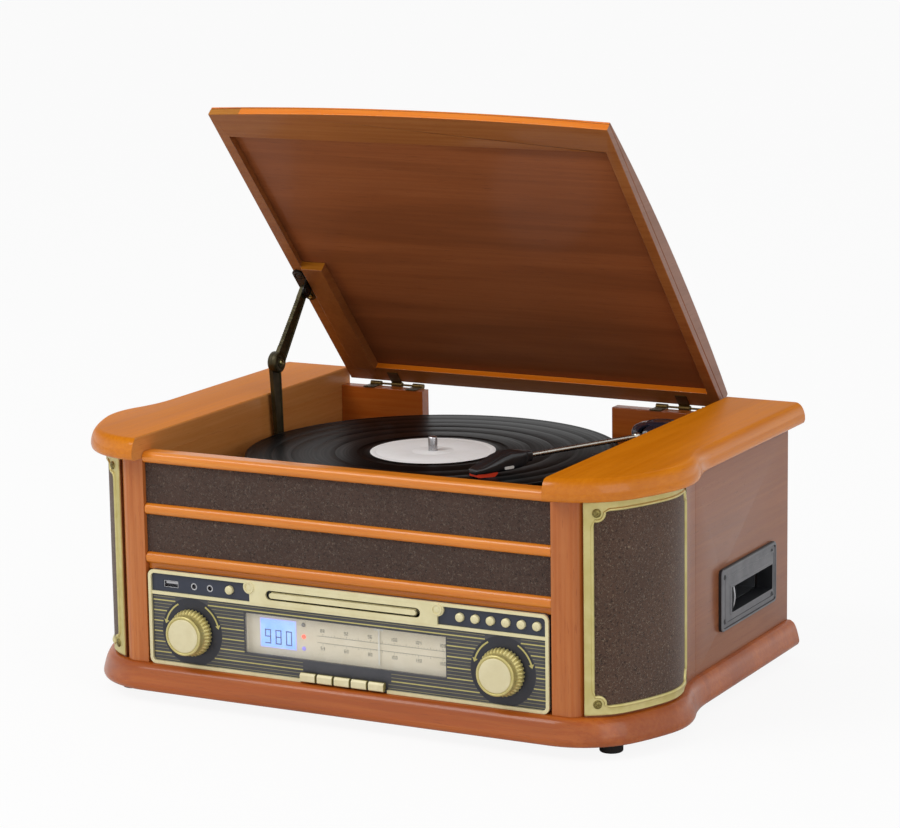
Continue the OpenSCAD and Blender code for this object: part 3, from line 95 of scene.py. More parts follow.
class Value:
    """Socket of a material that takes part in arithmetic.

    Each operator adds one Math node and gives the socket of its result.
    """

    def __init__(self, shader: "Shader", socket: bpy.types.NodeSocket) -> None:
        """Wraps a socket of the shader's node tree."""
        self.shader = shader
        self.socket = socket

    def _math(self, operation: str, *terms: object) -> "Value":
        """Adds a Math node.

        Args:
            operation: Name of the node's operation.
            terms: Values and numbers in the order of the node's sockets.

        Returns:
            The result as a value.
        """
        node = self.shader.node("ShaderNodeMath", {"operation": operation}, dict(enumerate(terms)))
        return Value(self.shader, node.outputs[0])

    def __add__(self, other: object) -> "Value":
        """Sum."""
        return self._math("ADD", self, other)

    def __radd__(self, other: object) -> "Value":
        """Reflected sum."""
        return self._math("ADD", other, self)

    def __sub__(self, other: object) -> "Value":
        """Difference."""
        return self._math("SUBTRACT", self, other)

    def __rsub__(self, other: object) -> "Value":
        """Reflected difference."""
        return self._math("SUBTRACT", other, self)

    def __mul__(self, other: object) -> "Value":
        """Product."""
        return self._math("MULTIPLY", self, other)

    def __rmul__(self, other: object) -> "Value":
        """Reflected product."""
        return self._math("MULTIPLY", other, self)

    def __truediv__(self, other: object) -> "Value":
        """Quotient."""
        return self._math("DIVIDE", self, other)

    def __pow__(self, other: object) -> "Value":
        """Power."""
        return self._math("POWER", self, other)

    def __abs__(self) -> "Value":
        """Size without its sign."""
        return self._math("ABSOLUTE", self)

    def over(self, limit: float) -> "Value":
        """One where the value is greater than the limit, otherwise nought."""
        return self._math("GREATER_THAN", self, limit)

    def ramp(self, low: float, high: float, start: float = 0.0, end: float = 1.0) -> "Value":
        """Smooth step between two limits.

        Args:
            low: Value at which the step starts.
            high: Value at which the step ends.
            start: Result at and below the low limit.
            end: Result at and above the high limit.

        Returns:
            The stepped value.
        """
        node = self.shader.node("ShaderNodeMapRange", {"interpolation_type": "SMOOTHSTEP"}, {
            "Value": self, "From Min": low, "From Max": high, "To Min": start, "To Max": end})
        return Value(self.shader, node.outputs[0])


def feed(tree: bpy.types.NodeTree, socket: bpy.types.NodeSocket, value: object) -> None:
    """Links a value or another node's socket to a socket, or sets a number or colour on it.

    Args:
        tree: Tree of the socket's node.
        socket: The socket.
        value: What it gets.
    """
    source = value.socket if isinstance(value, Value) else value
    if isinstance(source, bpy.types.NodeSocket):
        tree.links.new(source, socket)
    else:
        socket.default_value = source


def new_node(tree: bpy.types.NodeTree, kind: str, settings: Optional[dict] = None,
             values: Optional[dict] = None) -> bpy.types.Node:
    """Adds a node of any type to a tree.

    Args:
        tree: The tree.
        kind: Type of the node.
        settings: Attributes of the node, set first.
        values: Values, numbers or links by the name or number of their socket.

    Returns:
        The node.
    """
    node = tree.nodes.new(kind)
    for name, setting in (settings or {}).items():
        setattr(node, name, setting)
    for name, value in (values or {}).items():
        feed(tree, node.inputs[name], value)
    return node


class Shader:
    """Material under construction with one Principled surface."""

    def __init__(self, name: str) -> None:
        """Starts a material with an empty tree and a Principled surface.

        Args:
            name: Name of the material.
        """
        self.material = bpy.data.materials.new(name)
        self.material.use_nodes = True
        self.tree = self.material.node_tree
        self.tree.nodes.clear()
        self.surface = self.node("ShaderNodeBsdfPrincipled")
        output = self.node("ShaderNodeOutputMaterial")
        self.tree.links.new(self.surface.outputs[0], output.inputs[0])

    def node(self, kind: str, settings: Optional[dict] = None,
             values: Optional[dict] = None) -> bpy.types.Node:
        """Adds a node to the material, as new_node does."""
        return new_node(self.tree, kind, settings, values)

    def set(self, **values: object) -> None:
        """Sets or links sockets of the surface, with _ in place of a space in their names."""
        for name, value in values.items():
            feed(self.tree, self.surface.inputs[name.replace("_", " ")], value)

    def place(self, scale: Point = (1, 1, 1), shift: Point = (0, 0, 0)) -> bpy.types.NodeSocket:
        """Object coordinates in metres, scaled and then shifted.

        Args:
            scale: Factors along X, Y and Z.
            shift: Amounts added after the scaling.

        Returns:
            Socket of the mapped coordinates.
        """
        coords = self.node("ShaderNodeTexCoord")
        mapped = self.node("ShaderNodeMapping", None, {
            "Vector": coords.outputs["Object"], "Scale": tuple(scale), "Location": tuple(shift)})
        return mapped.outputs[0]

    def parts(self, vector: bpy.types.NodeSocket) -> tuple[Value, Value, Value]:
        """X, Y and Z of a vector."""
        node = self.node("ShaderNodeSeparateXYZ", None, {0: vector})
        return tuple(Value(self, out) for out in node.outputs)

    def joined(self, x: object, y: object, z: object) -> bpy.types.NodeSocket:
        """Vector of three values."""
        return self.node("ShaderNodeCombineXYZ", None, {0: x, 1: y, 2: z}).outputs[0]

    def noise(self, vector: bpy.types.NodeSocket, scale: float = 1.0, detail: float = 3.0,
              roughness: float = 0.5, warp: float = 0.0) -> Value:
        """Fractal noise from nought to one.

        Args:
            vector: Coordinates that it is read at.
            scale: Cycles for each unit of the coordinates.
            detail: Number of finer layers.
            roughness: Strength of the finer layers.
            warp: Strength of the distortion.

        Returns:
            The noise as a value.
        """
        node = self.node("ShaderNodeTexNoise", None, {
            "Vector": vector, "Scale": scale, "Detail": detail, "Roughness": roughness, "Distortion": warp})
        return Value(self, node.outputs[0])

    def mix(self, first: object, second: object, mask: object) -> bpy.types.NodeSocket:
        """Colour between two colours.

        Args:
            first: Colour where the mask is nought.
            second: Colour where the mask is one.
            mask: Value or number from nought to one.

        Returns:
            Socket of the mixed colour.
        """
        node = self.node("ShaderNodeMix", {"data_type": "RGBA"}, {0: mask, 6: first, 7: second})
        return node.outputs[2]

    def bump(self, height: Value, depth: float, strength: float = 1.0) -> None:
        """Feeds the surface's normal from a height.

        Args:
            height: Height from nought to one.
            depth: Distance in metres that one stands for.
            strength: Share of the effect.
        """
        node = self.node("ShaderNodeBump", None, {"Height": height, "Distance": depth, "Strength": strength})
        self.set(Normal=node.outputs[0])


class Grain(Enum):
    """Direction in which a wood's fibres run."""

    ACROSS = 0
    DEPTH = 1
    UPRIGHT = 2


@dataclass(frozen=True)
class Finish:
    """Surface finish; each kind builds its own material once.

    Attributes:
        name: Name of the material.
    """

    name: str

    def build(self, shader: Shader) -> None:
        """Adds the finish's nodes to a shader.

        Args:
            shader: Shader that takes the nodes.
        """
        raise NotImplementedError

    def material(self) -> bpy.types.Material:
        """The finish's material, built at its first use."""
        return material_of(self)


@lru_cache(maxsize=None)
def material_of(finish: Finish) -> bpy.types.Material:
    """Builds a finish's material.

    Args:
        finish: The finish.

    Returns:
        Its material.
    """
    shader = Shader(finish.name)
    finish.build(shader)
    return shader.material


@dataclass(frozen=True)
class Wood(Finish):
    """Lacquered wood with long figure, fine streaks and short open pores.

    Attributes:
        tone: Middle colour.
        dark: Colour of the figure and the pores.
        light: Colour of the pale streaks.
        grain: Direction of the fibres.
        roughness: Roughness of the lacquer.
        coat: Weight of the gloss coat on upright faces.
        top_coat: Weight of the gloss coat on faces that look up.
        figure: Strength of the figure.
        gloss: Gloss of the wood under its coat.
    """

    tone: str
    dark: str
    light: str
    grain: Grain
    roughness: float = 0.4
    coat: float = 0.5
    top_coat: float = 0.12
    figure: float = 0.55
    gloss: float = 0.12

    def build(self, shader: Shader) -> None:
        """Mixes figure, streaks and pores along the fibres.

        Args:
            shader: Shader that takes the nodes.
        """
        def stretch(along: float, across: float) -> bpy.types.NodeSocket:
            """Coordinates squeezed across the fibres.

            Args:
                along: Cycles for each metre along the fibres.
                across: Cycles for each metre across them.

            Returns:
                Socket of the coordinates.
            """
            scale = [across] * 3
            scale[self.grain.value] = along
            return shader.place(scale)

        figure = shader.noise(stretch(2.2, 26), 1, 4, 0.55, 0.9).ramp(0.34, 0.68)
        streaks = shader.noise(stretch(7, 330), 1, 3, 0.6).ramp(0.36, 0.66)
        pores = shader.noise(stretch(75, 1300), 1, 2, 0.6).ramp(0.61, 0.7)
        colour = shader.mix(rgb(self.tone), rgb(self.light), streaks * 0.5)
        colour = shader.mix(colour, rgb(self.dark), figure * self.figure)
        colour = shader.mix(colour, rgb(self.dark), pores * 0.45)
        normal = shader.node("ShaderNodeNewGeometry").outputs["Normal"]
        up = shader.parts(normal)[2].ramp(0.25, 0.85)
        shader.set(Base_Color=colour, Roughness=streaks * 0.06 + self.roughness,
                   Specular_IOR_Level=self.gloss, Coat_Roughness=0.16,
                   Coat_Weight=up * (self.top_coat - self.coat) + self.coat)
        shader.bump(pores * -1.0 + streaks * 0.3, 0.00004)


@dataclass(frozen=True)
class Cloth(Finish):
    """Loudspeaker cloth: dark weave with short pale curls of thread.

    Attributes:
        ground: Colour of the weave.
        thread: Colour of the curls.
    """

    ground: str
    thread: str

    def build(self, shader: Shader) -> None:
        """Marks the rims of warped cells, broken up by a second noise.

        Args:
            shader: Shader that takes the nodes.
        """
        place = shader.place()
        curls = (abs(shader.noise(place, 430, 1, 0.5, 1.1) - 0.5)).ramp(0.0, 0.045, 1.0, 0.0)
        breaks = shader.noise(place, 620, 2, 0.6).ramp(0.48, 0.6)
        pits = shader.noise(place, 700, 1, 0.5, 0.6).ramp(0.56, 0.68)
        patches = shader.noise(place, 24, 2, 0.5).ramp(0.3, 0.7)
        weave = shader.noise(place, 1700, 1, 0.5)
        colour = shader.mix(rgb(self.ground), rgb("#3A2C26"), patches * 0.3)
        colour = shader.mix(colour, rgb("#2E211C"), weave.ramp(0.5, 0.75) * 0.45)
        colour = shader.mix(colour, rgb("#241A15"), pits * 0.75)
        colour = shader.mix(colour, rgb(self.thread), curls * breaks * 0.75)
        shader.set(Base_Color=colour, Roughness=0.92, Specular_IOR_Level=0.15, Sheen_Weight=0.25,
                   Sheen_Roughness=0.5)
        shader.bump(curls * breaks + weave * 0.4 - pits * 0.5, 0.00025)


@dataclass(frozen=True)
class Satin(Finish):
    """Satin paint, plastic or rubber with a fine grain.

    Attributes:
        tone: Colour.
        second: Colour of the soft mottling.
        roughness: Mean roughness.
        metallic: Share of metal.
        grain: Depth of the grain in metres.
        fine: Grains for each metre.
        gloss: Weight of the clear coat.
    """

    tone: str
    second: str
    roughness: float = 0.45
    metallic: float = 0.0
    grain: float = 0.00002
    fine: float = 1800.0
    gloss: float = 0.0

    def build(self, shader: Shader) -> None:
        """Mottles the colour and roughness and grains the surface.

        Args:
            shader: Shader that takes the nodes.
        """
        place = shader.place()
        mottle = shader.noise(place, 60, 3, 0.6).ramp(0.3, 0.7)
        grain = shader.noise(place, self.fine, 2, 0.6)
        shader.set(Base_Color=shader.mix(rgb(self.tone), rgb(self.second), mottle),
                   Roughness=mottle * 0.08 + self.roughness, Metallic=self.metallic,
                   Coat_Weight=self.gloss, Coat_Roughness=0.1)
        shader.bump(grain, self.grain)


@dataclass(frozen=True)
class Brushed(Finish):
    """Metal brushed along one direction.

    Attributes:
        tone: Colour.
        second: Colour of the brush marks.
        grain: Direction of the marks.
        roughness: Mean roughness.
        wear: Strength of the dark mottling.
    """

    tone: str
    second: str
    grain: Grain = Grain.ACROSS
    roughness: float = 0.3
    wear: float = 0.2

    def build(self, shader: Shader) -> None:
        """Streaks the colour and roughness along the brushing.

        Args:
            shader: Shader that takes the nodes.
        """
        scale = [2600.0] * 3
        scale[self.grain.value] = 40.0
        marks = shader.noise(shader.place(scale), 1, 2, 0.5)
        spots = shader.noise(shader.place(), 140, 4, 0.65).ramp(0.5, 0.7)
        colour = shader.mix(rgb(self.tone), rgb(self.second), marks.ramp(0.3, 0.7))
        colour = shader.mix(colour, rgb(self.second), spots * self.wear)
        shader.set(Base_Color=colour, Metallic=1.0, Roughness=marks * 0.16 + self.roughness)
        shader.bump(marks, 0.00001)


@dataclass(frozen=True)
class Vinyl(Finish):
    """Pressed record: fine rings round the spindle with smooth bands between the tracks.

    Attributes:
        centre: Spindle in the shared frame, in metres.
    """

    centre: tuple[float, float]

    def build(self, shader: Shader) -> None:
        """Reads the distance from the spindle and cuts rings from it.

        Args:
            shader: Shader that takes the nodes.
        """
        x, y, _ = shader.parts(shader.place(shift=(-self.centre[0], -self.centre[1], 0)))
        radius = (x * x + y * y) ** 0.5
        ring = shader.joined(radius * 1000, 0.0, 0.0)
        tracks = shader.noise(ring, 0.4, 2, 0.5).ramp(0.35, 0.6)
        fine = shader.noise(ring, 2.5, 1, 0.5)
        shader.set(Base_Color=shader.mix(rgb("#060606"), rgb("#0A0A0A"), tracks * fine),
                   Roughness=tracks * 0.06 + 0.3, Specular_IOR_Level=0.03)
        shader.bump(fine * tracks, 0.00001)


@dataclass(frozen=True)
class Slate(Finish):
    """Painted radio panel: slate field, darker strip over the divider and plain discs round the knobs.

    Attributes:
        divider: Height over which the strip is darker, in metres.
        knobs: Distance of the knobs from the middle and their height, in metres.
        disc: Radius of the plain discs in metres.
    """

    divider: float
    knobs: tuple[float, float]
    disc: float

    def build(self, shader: Shader) -> None:
        """Marks the strip by height and the discs by the distance from the nearer knob.

        Args:
            shader: Shader that takes the nodes.
        """
        x, _, z = shader.parts(shader.place())
        beside, above = abs(x) - self.knobs[0], z - self.knobs[1]
        away = (beside * beside + above * above) ** 0.5
        disc = away.ramp(self.disc - 0.0003, self.disc, 1.0, 0.0)
        strip = z.over(self.divider)
        mottle = shader.noise(shader.place(), 50, 3, 0.6).ramp(0.3, 0.7)
        colour = shader.mix(rgb("#4B4B50"), rgb("#434449"), mottle)
        colour = shader.mix(colour, rgb("#2F3038"), disc)
        colour = shader.mix(colour, rgb("#333846"), strip)
        shader.set(Base_Color=colour, Roughness=mottle * 0.06 + 0.38, Specular_IOR_Level=0.4)
        shader.bump(shader.noise(shader.place(), 2200, 2, 0.6), 0.00002)


@dataclass(frozen=True)
class Glass(Finish):
    """Thin clear window, tinted and slightly reflective.

    Attributes:
        tone: Tint.
        cover: Share of the window's own colour.
    """

    tone: str
    cover: float = 0.12

    def build(self, shader: Shader) -> None:
        """Sets a clear surface with a soft reflection.

        Args:
            shader: Shader that takes the nodes.
        """
        haze = shader.noise(shader.place(), 30, 2, 0.5)
        shader.set(Base_Color=rgb(self.tone), Roughness=haze * 0.05 + 0.06, Alpha=self.cover,
                   Specular_IOR_Level=0.6)


@dataclass(frozen=True)
class Glow(Finish):
    """Back-lit surface.

    Attributes:
        tone: Colour of the light.
        edge: Colour where the light is weaker.
        strength: Strength of the light.
    """

    tone: str
    edge: str
    strength: float = 0.6

    def build(self, shader: Shader) -> None:
        """Mixes the two colours softly and lets them shine.

        Args:
            shader: Shader that takes the nodes.
        """
        cloud = shader.noise(shader.place(), 45, 2, 0.5).ramp(0.3, 0.7)
        colour = shader.mix(rgb(self.tone), rgb(self.edge), cloud)
        shader.set(Base_Color=colour, Emission_Color=colour, Emission_Strength=self.strength, Roughness=0.35)


# ---------------------------------------------------------------- finishes

CAP_WOOD = Wood("lacquered wood, cap", "#D2780C", "#B66208", "#E28A1C",
                Grain.DEPTH, 0.34, 0.75, 0.0, 0.4, 0.02)
RAIL_WOOD = Wood("lacquered wood, rail", "#E2821E", "#C06410", "#F09C3A", Grain.ACROSS, 0.3, 0.85, 0.4)
PLINTH_WOOD = Wood("lacquered wood, plinth", "#AC5418", "#883C0C", "#C06C2A", Grain.ACROSS, 0.32, 0.8, 0.2)
STILE_WOOD = Wood("lacquered wood, stile", "#BE6A2E", "#964818", "#CE844A", Grain.UPRIGHT, 0.34, 0.6)
WALL_WOOD = Wood("lacquered wood, wall", "#8E5434", "#704026", "#9E6846", Grain.DEPTH, 0.36, 0.55, 0.2, 0.4)
BAY_WOOD = Wood("lacquered wood, bay", "#D48A48", "#B87030", "#E09C5C",
                Grain.DEPTH, 0.4, 0.35, 0.0, 0.45, 0.04)
# Satin wood of the lid's underside: its own tone, darkened partly as painted shade under the open lid.
LID_INSIDE_WITH_PAINTED_SHADE = Wood("satin wood, lid inside, with painted shade", "#92522C", "#6C3A1E", "#A05E36", Grain.ACROSS, 0.5, 0.2, 0.1, 0.5)
# Darker copies of the lid frame's wood on the rails' undersides and the side rails' inner faces: painted
# shade.
LID_RAIL_PAINTED_SHADE = Wood("satin wood, lid rail, painted shade", "#96582A", "#784018", "#A66A38", Grain.ACROSS, 0.46, 0.3, 0.2, 0.3)
LID_SIDE_RAIL_PAINTED_SHADE = Wood("satin wood, lid side rail, painted shade", "#8A4E26", "#6C3A18", "#9A5E30",
                 Grain.DEPTH, 0.46, 0.3, 0.2, 0.3)
LID_OUTSIDE = Wood("lacquered wood, lid", "#C9720F", "#AE5A0C", "#DA8820", Grain.ACROSS, 0.34, 0.7, 0.14, 0.4)
# Brighter copy of the lid's wood on faces that look towards its front edge: painted light.
LID_FRONT_PAINTED_LIGHT = Wood("lacquered wood, lid front edge, painted light", "#E87C10", "#C45E08", "#F09030",
                 Grain.ACROSS, 0.34, 0.5, 0.2, 0.3)
# Greyish copy of the lid's wood on its side and back edges and the frame's outer sides: painted reflection of
# the white studio.
LID_EDGE_PAINTED_REFLECTION = Wood("lacquered wood, lid edge, painted reflection", "#8E6450", "#74492F", "#9E7460",
                Grain.DEPTH, 0.36, 0.5, 0.2, 0.35)
# Brighter copy of the lid frame's wood on the stay block's front end: painted light.
LID_BLOCK_END_PAINTED_LIGHT = Wood("lacquered wood, stay block end, painted light", "#B4701C", "#8E4E10", "#C4842E", Grain.ACROSS, 0.4, 0.3)
BACK_BOARD = Satin("painted hardboard", "#1E1916", "#262019", 0.7, grain=0.00008, fine=900)
CLOTH = Cloth("loudspeaker cloth", "#5A4438", "#A08C74")
STRIP_CLOTH = Cloth("front strip cloth", "#4C3A32", "#8A7866")
GILT = Satin("gold paint", "#D4C88A", "#C6B976", 0.34, 0.5)
GILT_PALE = Satin("pale gold paint", "#E8DFB4", "#E0D6A8", 0.4, 0.2)
GILT_SHADE = Satin("shaded gold paint", "#A69C66", "#958B58", 0.45, 0.3)
GILT_FACE = Satin("cream knob face", "#E6DCB4", "#DDD2A8", 0.45, 0.1)
GILT_LINE = Satin("gold print", "#C6BC78", "#BCB26E", 0.5, 0.1)
FAINT_LINE = Satin("faint gold print", "#8E8866", "#87815F", 0.5)
PANEL = Slate("slate panel", 0.0894, (0.136, 0.0596), 0.0272)
DARK_PLASTIC = Satin("dark plastic", "#17181B", "#1E1F23", 0.45, grain=0.00004)
DECK_BLACK = Satin("grained black", "#0E0E10", "#151518", 0.5, grain=0.00006, fine=1400)
SHELL_BLACK = Satin("glossy black", "#0B0B0D", "#101014", 0.42, grain=0.00001, gloss=0.25)
NAVY_BLACK = Satin("dark turret", "#141824", "#1C2233", 0.3, grain=0.00004, fine=500, gloss=0.6)
RUBBER = Satin("rubber", "#121212", "#191817", 0.75, grain=0.00006)
SOCKET = Brushed("bright metal", "#C8C8CA", "#A9A9AD", roughness=0.2)
STEEL = Brushed("zinc plate", "#A6A8AC", "#8C8E93", roughness=0.35)
BRASS = Brushed("hinge brass", "#6E5A34", "#4C3C22", roughness=0.36, wear=0.5)
SCREW = Brushed("screw brass", "#A2945A", "#5E542E", roughness=0.3, wear=0.3)
BRONZE = Satin("olive bronze", "#4A4328", "#332D1A", 0.34, 0.65, 0.00004, 900)
RIVET = Brushed("worn rivet", "#A8A070", "#6E6840", roughness=0.24, wear=0.5)
BLACK_METAL = Satin("black oxide", "#14110C", "#221D14", 0.3, 0.5)
ARM_METAL = Brushed("arm tube", "#D0CEC6", "#A9A69C", Grain.DEPTH, 0.2, 0.1)
PLATTER_METAL = Brushed("dark platter", "#4A4A4E", "#3A3A3E", roughness=0.4)
RED = Satin("red plastic", "#F04424", "#E03A1A", 0.35, gloss=0.4)
LABEL = Satin("paper label", "#FFFFFF", "#FAFAF8", 0.6, fine=900)
SCALE = Satin("printed scale", "#F4ECD8", "#ECE3CC", 0.5)
WINDOW = Glass("clear window", "#F0EAD8")
DISPLAY = Glow("display light", "#6CA6FF", "#96C0FF", 0.75)
GLOW_EDGE = Glow("display edge", "#B0A6F4", "#C0C4FF", 0.5)
DIGIT = Satin("display digit", "#3A62C8", "#4068CC", 0.5)
INK = Satin("dark ink", "#6A6A60", "#74746A", 0.6)
WHITE = Satin("white plastic", "#F0F0EC", "#E6E6E0", 0.45)
LAMP_RED = Glow("red lamp", "#FF4A34", "#FF8A74", 1.1)
LAMP_VIOLET = Glow("violet lamp", "#8C84F0", "#A8A4FF", 0.5)
LAMP_GREY = Satin("grey lamp", "#8A8C92", "#7C7E84", 0.3)
PLATE_GREY = Satin("grey plate", "#707073", "#66666A", 0.42, grain=0.00004)
BOARD = Satin("solder mask", "#1C5A34", "#174A2C", 0.4)
PAPER_CONE = Satin("paper cone", "#1A1A1A", "#222120", 0.85, grain=0.0002, fine=700)


# ---------------------------------------------------------------- shapes


class Skin:
    """Collects closed surfaces, in millimetres of the construction frame, into one mesh."""

    def __init__(self) -> None:
        """Starts without points."""
        self.points: list[np.ndarray] = []
        self.faces: list[tuple[int, ...]] = []
        self.count = 0

    def _add(self, points: np.ndarray, faces: Iterable[Sequence[int]]) -> None:
        """Adds points with faces that count from their first point.

        Args:
            points: Array whose last axis holds x, y and z.
            faces: Corners of each face, as numbers of points.
        """
        start = self.count
        self.points.append(points.reshape(-1, 3))
        self.faces += [tuple(int(i) + start for i in f) for f in faces]
        self.count += len(self.points[-1])

    def grid(self, points: np.ndarray, round_u: bool = False) -> "Skin":
        """Surface through a grid: quads join each point to its neighbours in both directions.

        The last column is joined to the first.

        Args:
            points: Array of shape (rows, columns, 3).
            round_u: Joins the last row to the first; otherwise a flat face closes each of the two.

        Returns:
            The skin itself.
        """
        rows, cols = points.shape[:2]
        i, j = np.meshgrid(np.arange(rows if round_u else rows - 1), np.arange(cols), indexing="ij")
        i2, j2 = (i + 1) % rows, (j + 1) % cols
        quads = np.stack([i * cols + j, i * cols + j2, i2 * cols + j2, i2 * cols + j], -1).reshape(-1, 4)
        faces = quads.tolist()
        if not round_u:
            faces += [list(range(cols))[::-1], [(rows - 1) * cols + k for k in range(cols)]]
        self._add(points, faces)
        return self

    def turned(self, profile: Sequence[Point], centre: Point, axis: int = 2, count: int = 64,
               wobble: Optional[Callable[[np.ndarray, np.ndarray], np.ndarray]] = None,
               hollow: bool = False, span: Point = (0.0, 360.0)) -> "Skin":
        """Profile turned about an axis: point (r, h) goes to r cos a, r sin a and h for each angle a.

        Args:
            profile: Radius and height pairs.
            centre: Place of the axis and of height nought.
            axis: 0, 1 or 2 for an axis along X, Y or Z.
            count: Number of steps round.
            wobble: Gives the radius from the angle and the plain radius.
            hollow: Joins the profile's end to its start, for a ring with a hole.
            span: First and last angle in degrees; under a whole turn, the profile closes the two ends.

        Returns:
            The skin itself.
        """
        rh = np.asarray(profile, float)
        whole = span[1] - span[0] >= 360
        angle = np.radians(np.linspace(span[0], span[1], count, endpoint=not whole))
        radius = np.broadcast_to(rh[:, 0:1], (len(rh), count))
        if wobble is not None:
            radius = wobble(angle[None, :], radius)
        height = np.broadcast_to(rh[:, 1:2], radius.shape)
        turn = [radius * np.cos(angle), radius * np.sin(angle)]
        order = {0: [height, turn[0], turn[1]], 1: [turn[1], height, turn[0]], 2: [turn[0], turn[1], height]}
        points = np.stack(order[axis], -1) + np.asarray(centre, float)
        if whole:
            return self.grid(points, round_u=hollow)
        return self.grid(points.transpose(1, 0, 2))

    def box(self, low: Point, high: Point) -> "Skin":
        """Box between two corners.

        Args:
            low: Corner with the smallest x, y and z.
            high: Corner with the greatest.

        Returns:
            The skin itself.
        """
        x, y, z = zip(low, high)
        ring = np.array([[x[0], y[0]], [x[1], y[0]], [x[1], y[1]], [x[0], y[1]]], float)
        return self.grid(np.stack([np.column_stack([ring, np.full(4, h)]) for h in z]))

    def tube(self, path: Sequence[Point], radius: object, count: int = 12) -> "Skin":
        """Round tube along a path: each point carries a circle square to the path's direction.

        Args:
            path: Points of the centre line.
            radius: One radius, or one for each point.
            count: Number of steps round.

        Returns:
            The skin itself.
        """
        p = np.asarray(path, float)
        along = np.gradient(p, axis=0)
        along /= np.linalg.norm(along, axis=1, keepdims=True)
        side = np.cross(along, [0.13, 0.21, 0.97])
        side /= np.linalg.norm(side, axis=1, keepdims=True)
        other = np.cross(along, side)
        a = np.linspace(0, 2 * pi, count, endpoint=False)[None, :, None]
        r = np.broadcast_to(np.asarray(radius, float), (len(p),))[:, None, None]
        return self.grid(p[:, None] + r * (np.cos(a) * side[:, None] + np.sin(a) * other[:, None]))

    def bar(self, outline: Sequence[Point], low: float, high: float, axis: int = 1) -> "Skin":
        """Flat outline carried from one depth to another.

        Args:
            outline: Pairs in the two other directions, in the order of the axes.
            low: Depth of one end.
            high: Depth of the other end.
            axis: Direction in which it is carried.

        Returns:
            The skin itself.
        """
        flat = np.asarray(outline, float)
        rows = [np.insert(flat, axis, depth, axis=1) for depth in (low, high)]
        return self.grid(np.stack(rows))

    def made(self, name: str, finish: Finish, body: str, slot: str, replaces: Sequence[str] = (),
             sharp: float = 32.0, turn: Optional[Matrix] = None) -> bpy.types.Object:
        """Puts the surfaces into one object, smooth between faces that meet at a small angle.

        Args:
            name: Name of the piece.
            finish: Finish of the piece.
            body: Body that it moves with.
            slot: Material slot of the record; not used.
            replaces: Nodes that it stands in for.
            sharp: Angle in degrees over which an edge stays sharp.
            turn: Placement worked into the points, in the construction frame.

        Returns:
            The object.
        """
        points = np.concatenate(self.points)
        if turn is not None:
            m = np.array(turn)
            points = points @ m[:3, :3].T + m[:3, 3]
        points = (points - [0, CENTRE_Y, 0]) * MM
        mesh = bpy.data.meshes.new(name)
        mesh.from_pydata(points.tolist(), [], self.faces)
        tidy(mesh, sharp, merge=1e-7)
        return placed(name, mesh, finish, body, replaces)


# Place of the shared frame's origin along Y, in millimetres of the construction frame
CENTRE_Y = 331.0 - 1000.0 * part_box("plinth")[1].y


def tidy(mesh: bpy.types.Mesh, sharp: float, merge: float, flatten: bool = False) -> None:
    """Merges doubled points, points the faces outwards and marks sharp edges.

    Args:
        mesh: The mesh.
        sharp: Angle in degrees over which an edge is sharp.
        merge: Distance in metres under which points are merged.
        flatten: Joins the triangles of each flat face.
    """
    work = bmesh.new()
    work.from_mesh(mesh)
    bmesh.ops.remove_doubles(work, verts=work.verts, dist=merge)
    if flatten:
        bmesh.ops.dissolve_limit(work, angle_limit=radians(0.6), verts=work.verts, edges=work.edges)
    else:
        bmesh.ops.recalc_face_normals(work, faces=work.faces)
    for face in work.faces:
        face.smooth = True
    for edge in work.edges:
        edge.smooth = not (len(edge.link_faces) == 2 and edge.calc_face_angle(0.0) > radians(sharp))
    work.to_mesh(mesh)
    work.free()


def placed(name: str, mesh: bpy.types.Mesh, finish: Finish, body: str,
           replaces: Sequence[str] = ()) -> bpy.types.Object:
    """Links a mesh as a piece that rides on a body.

    Args:
        name: Name of the piece.
        mesh: Its mesh in the shared frame.
        finish: Its finish.
        body: Body that it moves with.
        replaces: Nodes that it stands in for.

    Returns:
        The object.
    """
    piece = bpy.data.objects.new(name, mesh)
    bpy.context.scene.collection.objects.link(piece)
    mesh.materials.clear()
    mesh.materials.append(finish.material())
    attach(piece, body)
    if replaces:
        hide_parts(*replaces)
    log.info("%s rides on %s", name, body)
    return piece


def dressed(node: str, finish: Finish, edge: float = 0.3,
            reshape: Optional[Callable[[np.ndarray], np.ndarray]] = None) -> bpy.types.Object:
    """Copies a node's solid, joins its flat faces and rounds its sharp edges.

    Args:
        node: Name of the node.
        finish: Finish of the copy.
        edge: Width of the rounded edges in millimetres; nought leaves them as they are.
        reshape: Moves the points, given in millimetres of the shared frame, before anything else.

    Returns:
        The dressed copy.
    """
    sharp, segments = 34.0, 3       # angle over which an edge is rounded, and the facets across it
    source = frame["nodes"][node]
    mesh = source.data.copy()
    mesh.name = node + "_skin"
    if reshape is not None:
        points = np.empty(len(mesh.vertices) * 3)
        mesh.vertices.foreach_get("co", points)
        mesh.vertices.foreach_set("co", (reshape(points.reshape(-1, 3) / MM) * MM).ravel())
    tidy(mesh, sharp, merge=2e-6, flatten=True)
    piece = placed(node + "_skin", mesh, finish, source["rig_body"], (node,))
    if edge > 0:
        rounding = piece.modifiers.new("edges", "BEVEL")
        rounding.width = edge * MM
        rounding.segments = segments
        rounding.limit_method = "ANGLE"
        rounding.angle_limit = radians(sharp)
        rounding.use_clamp_overlap = True
        rounding.harden_normals = True
        rounding.miter_outer = "MITER_ARC"
    return piece


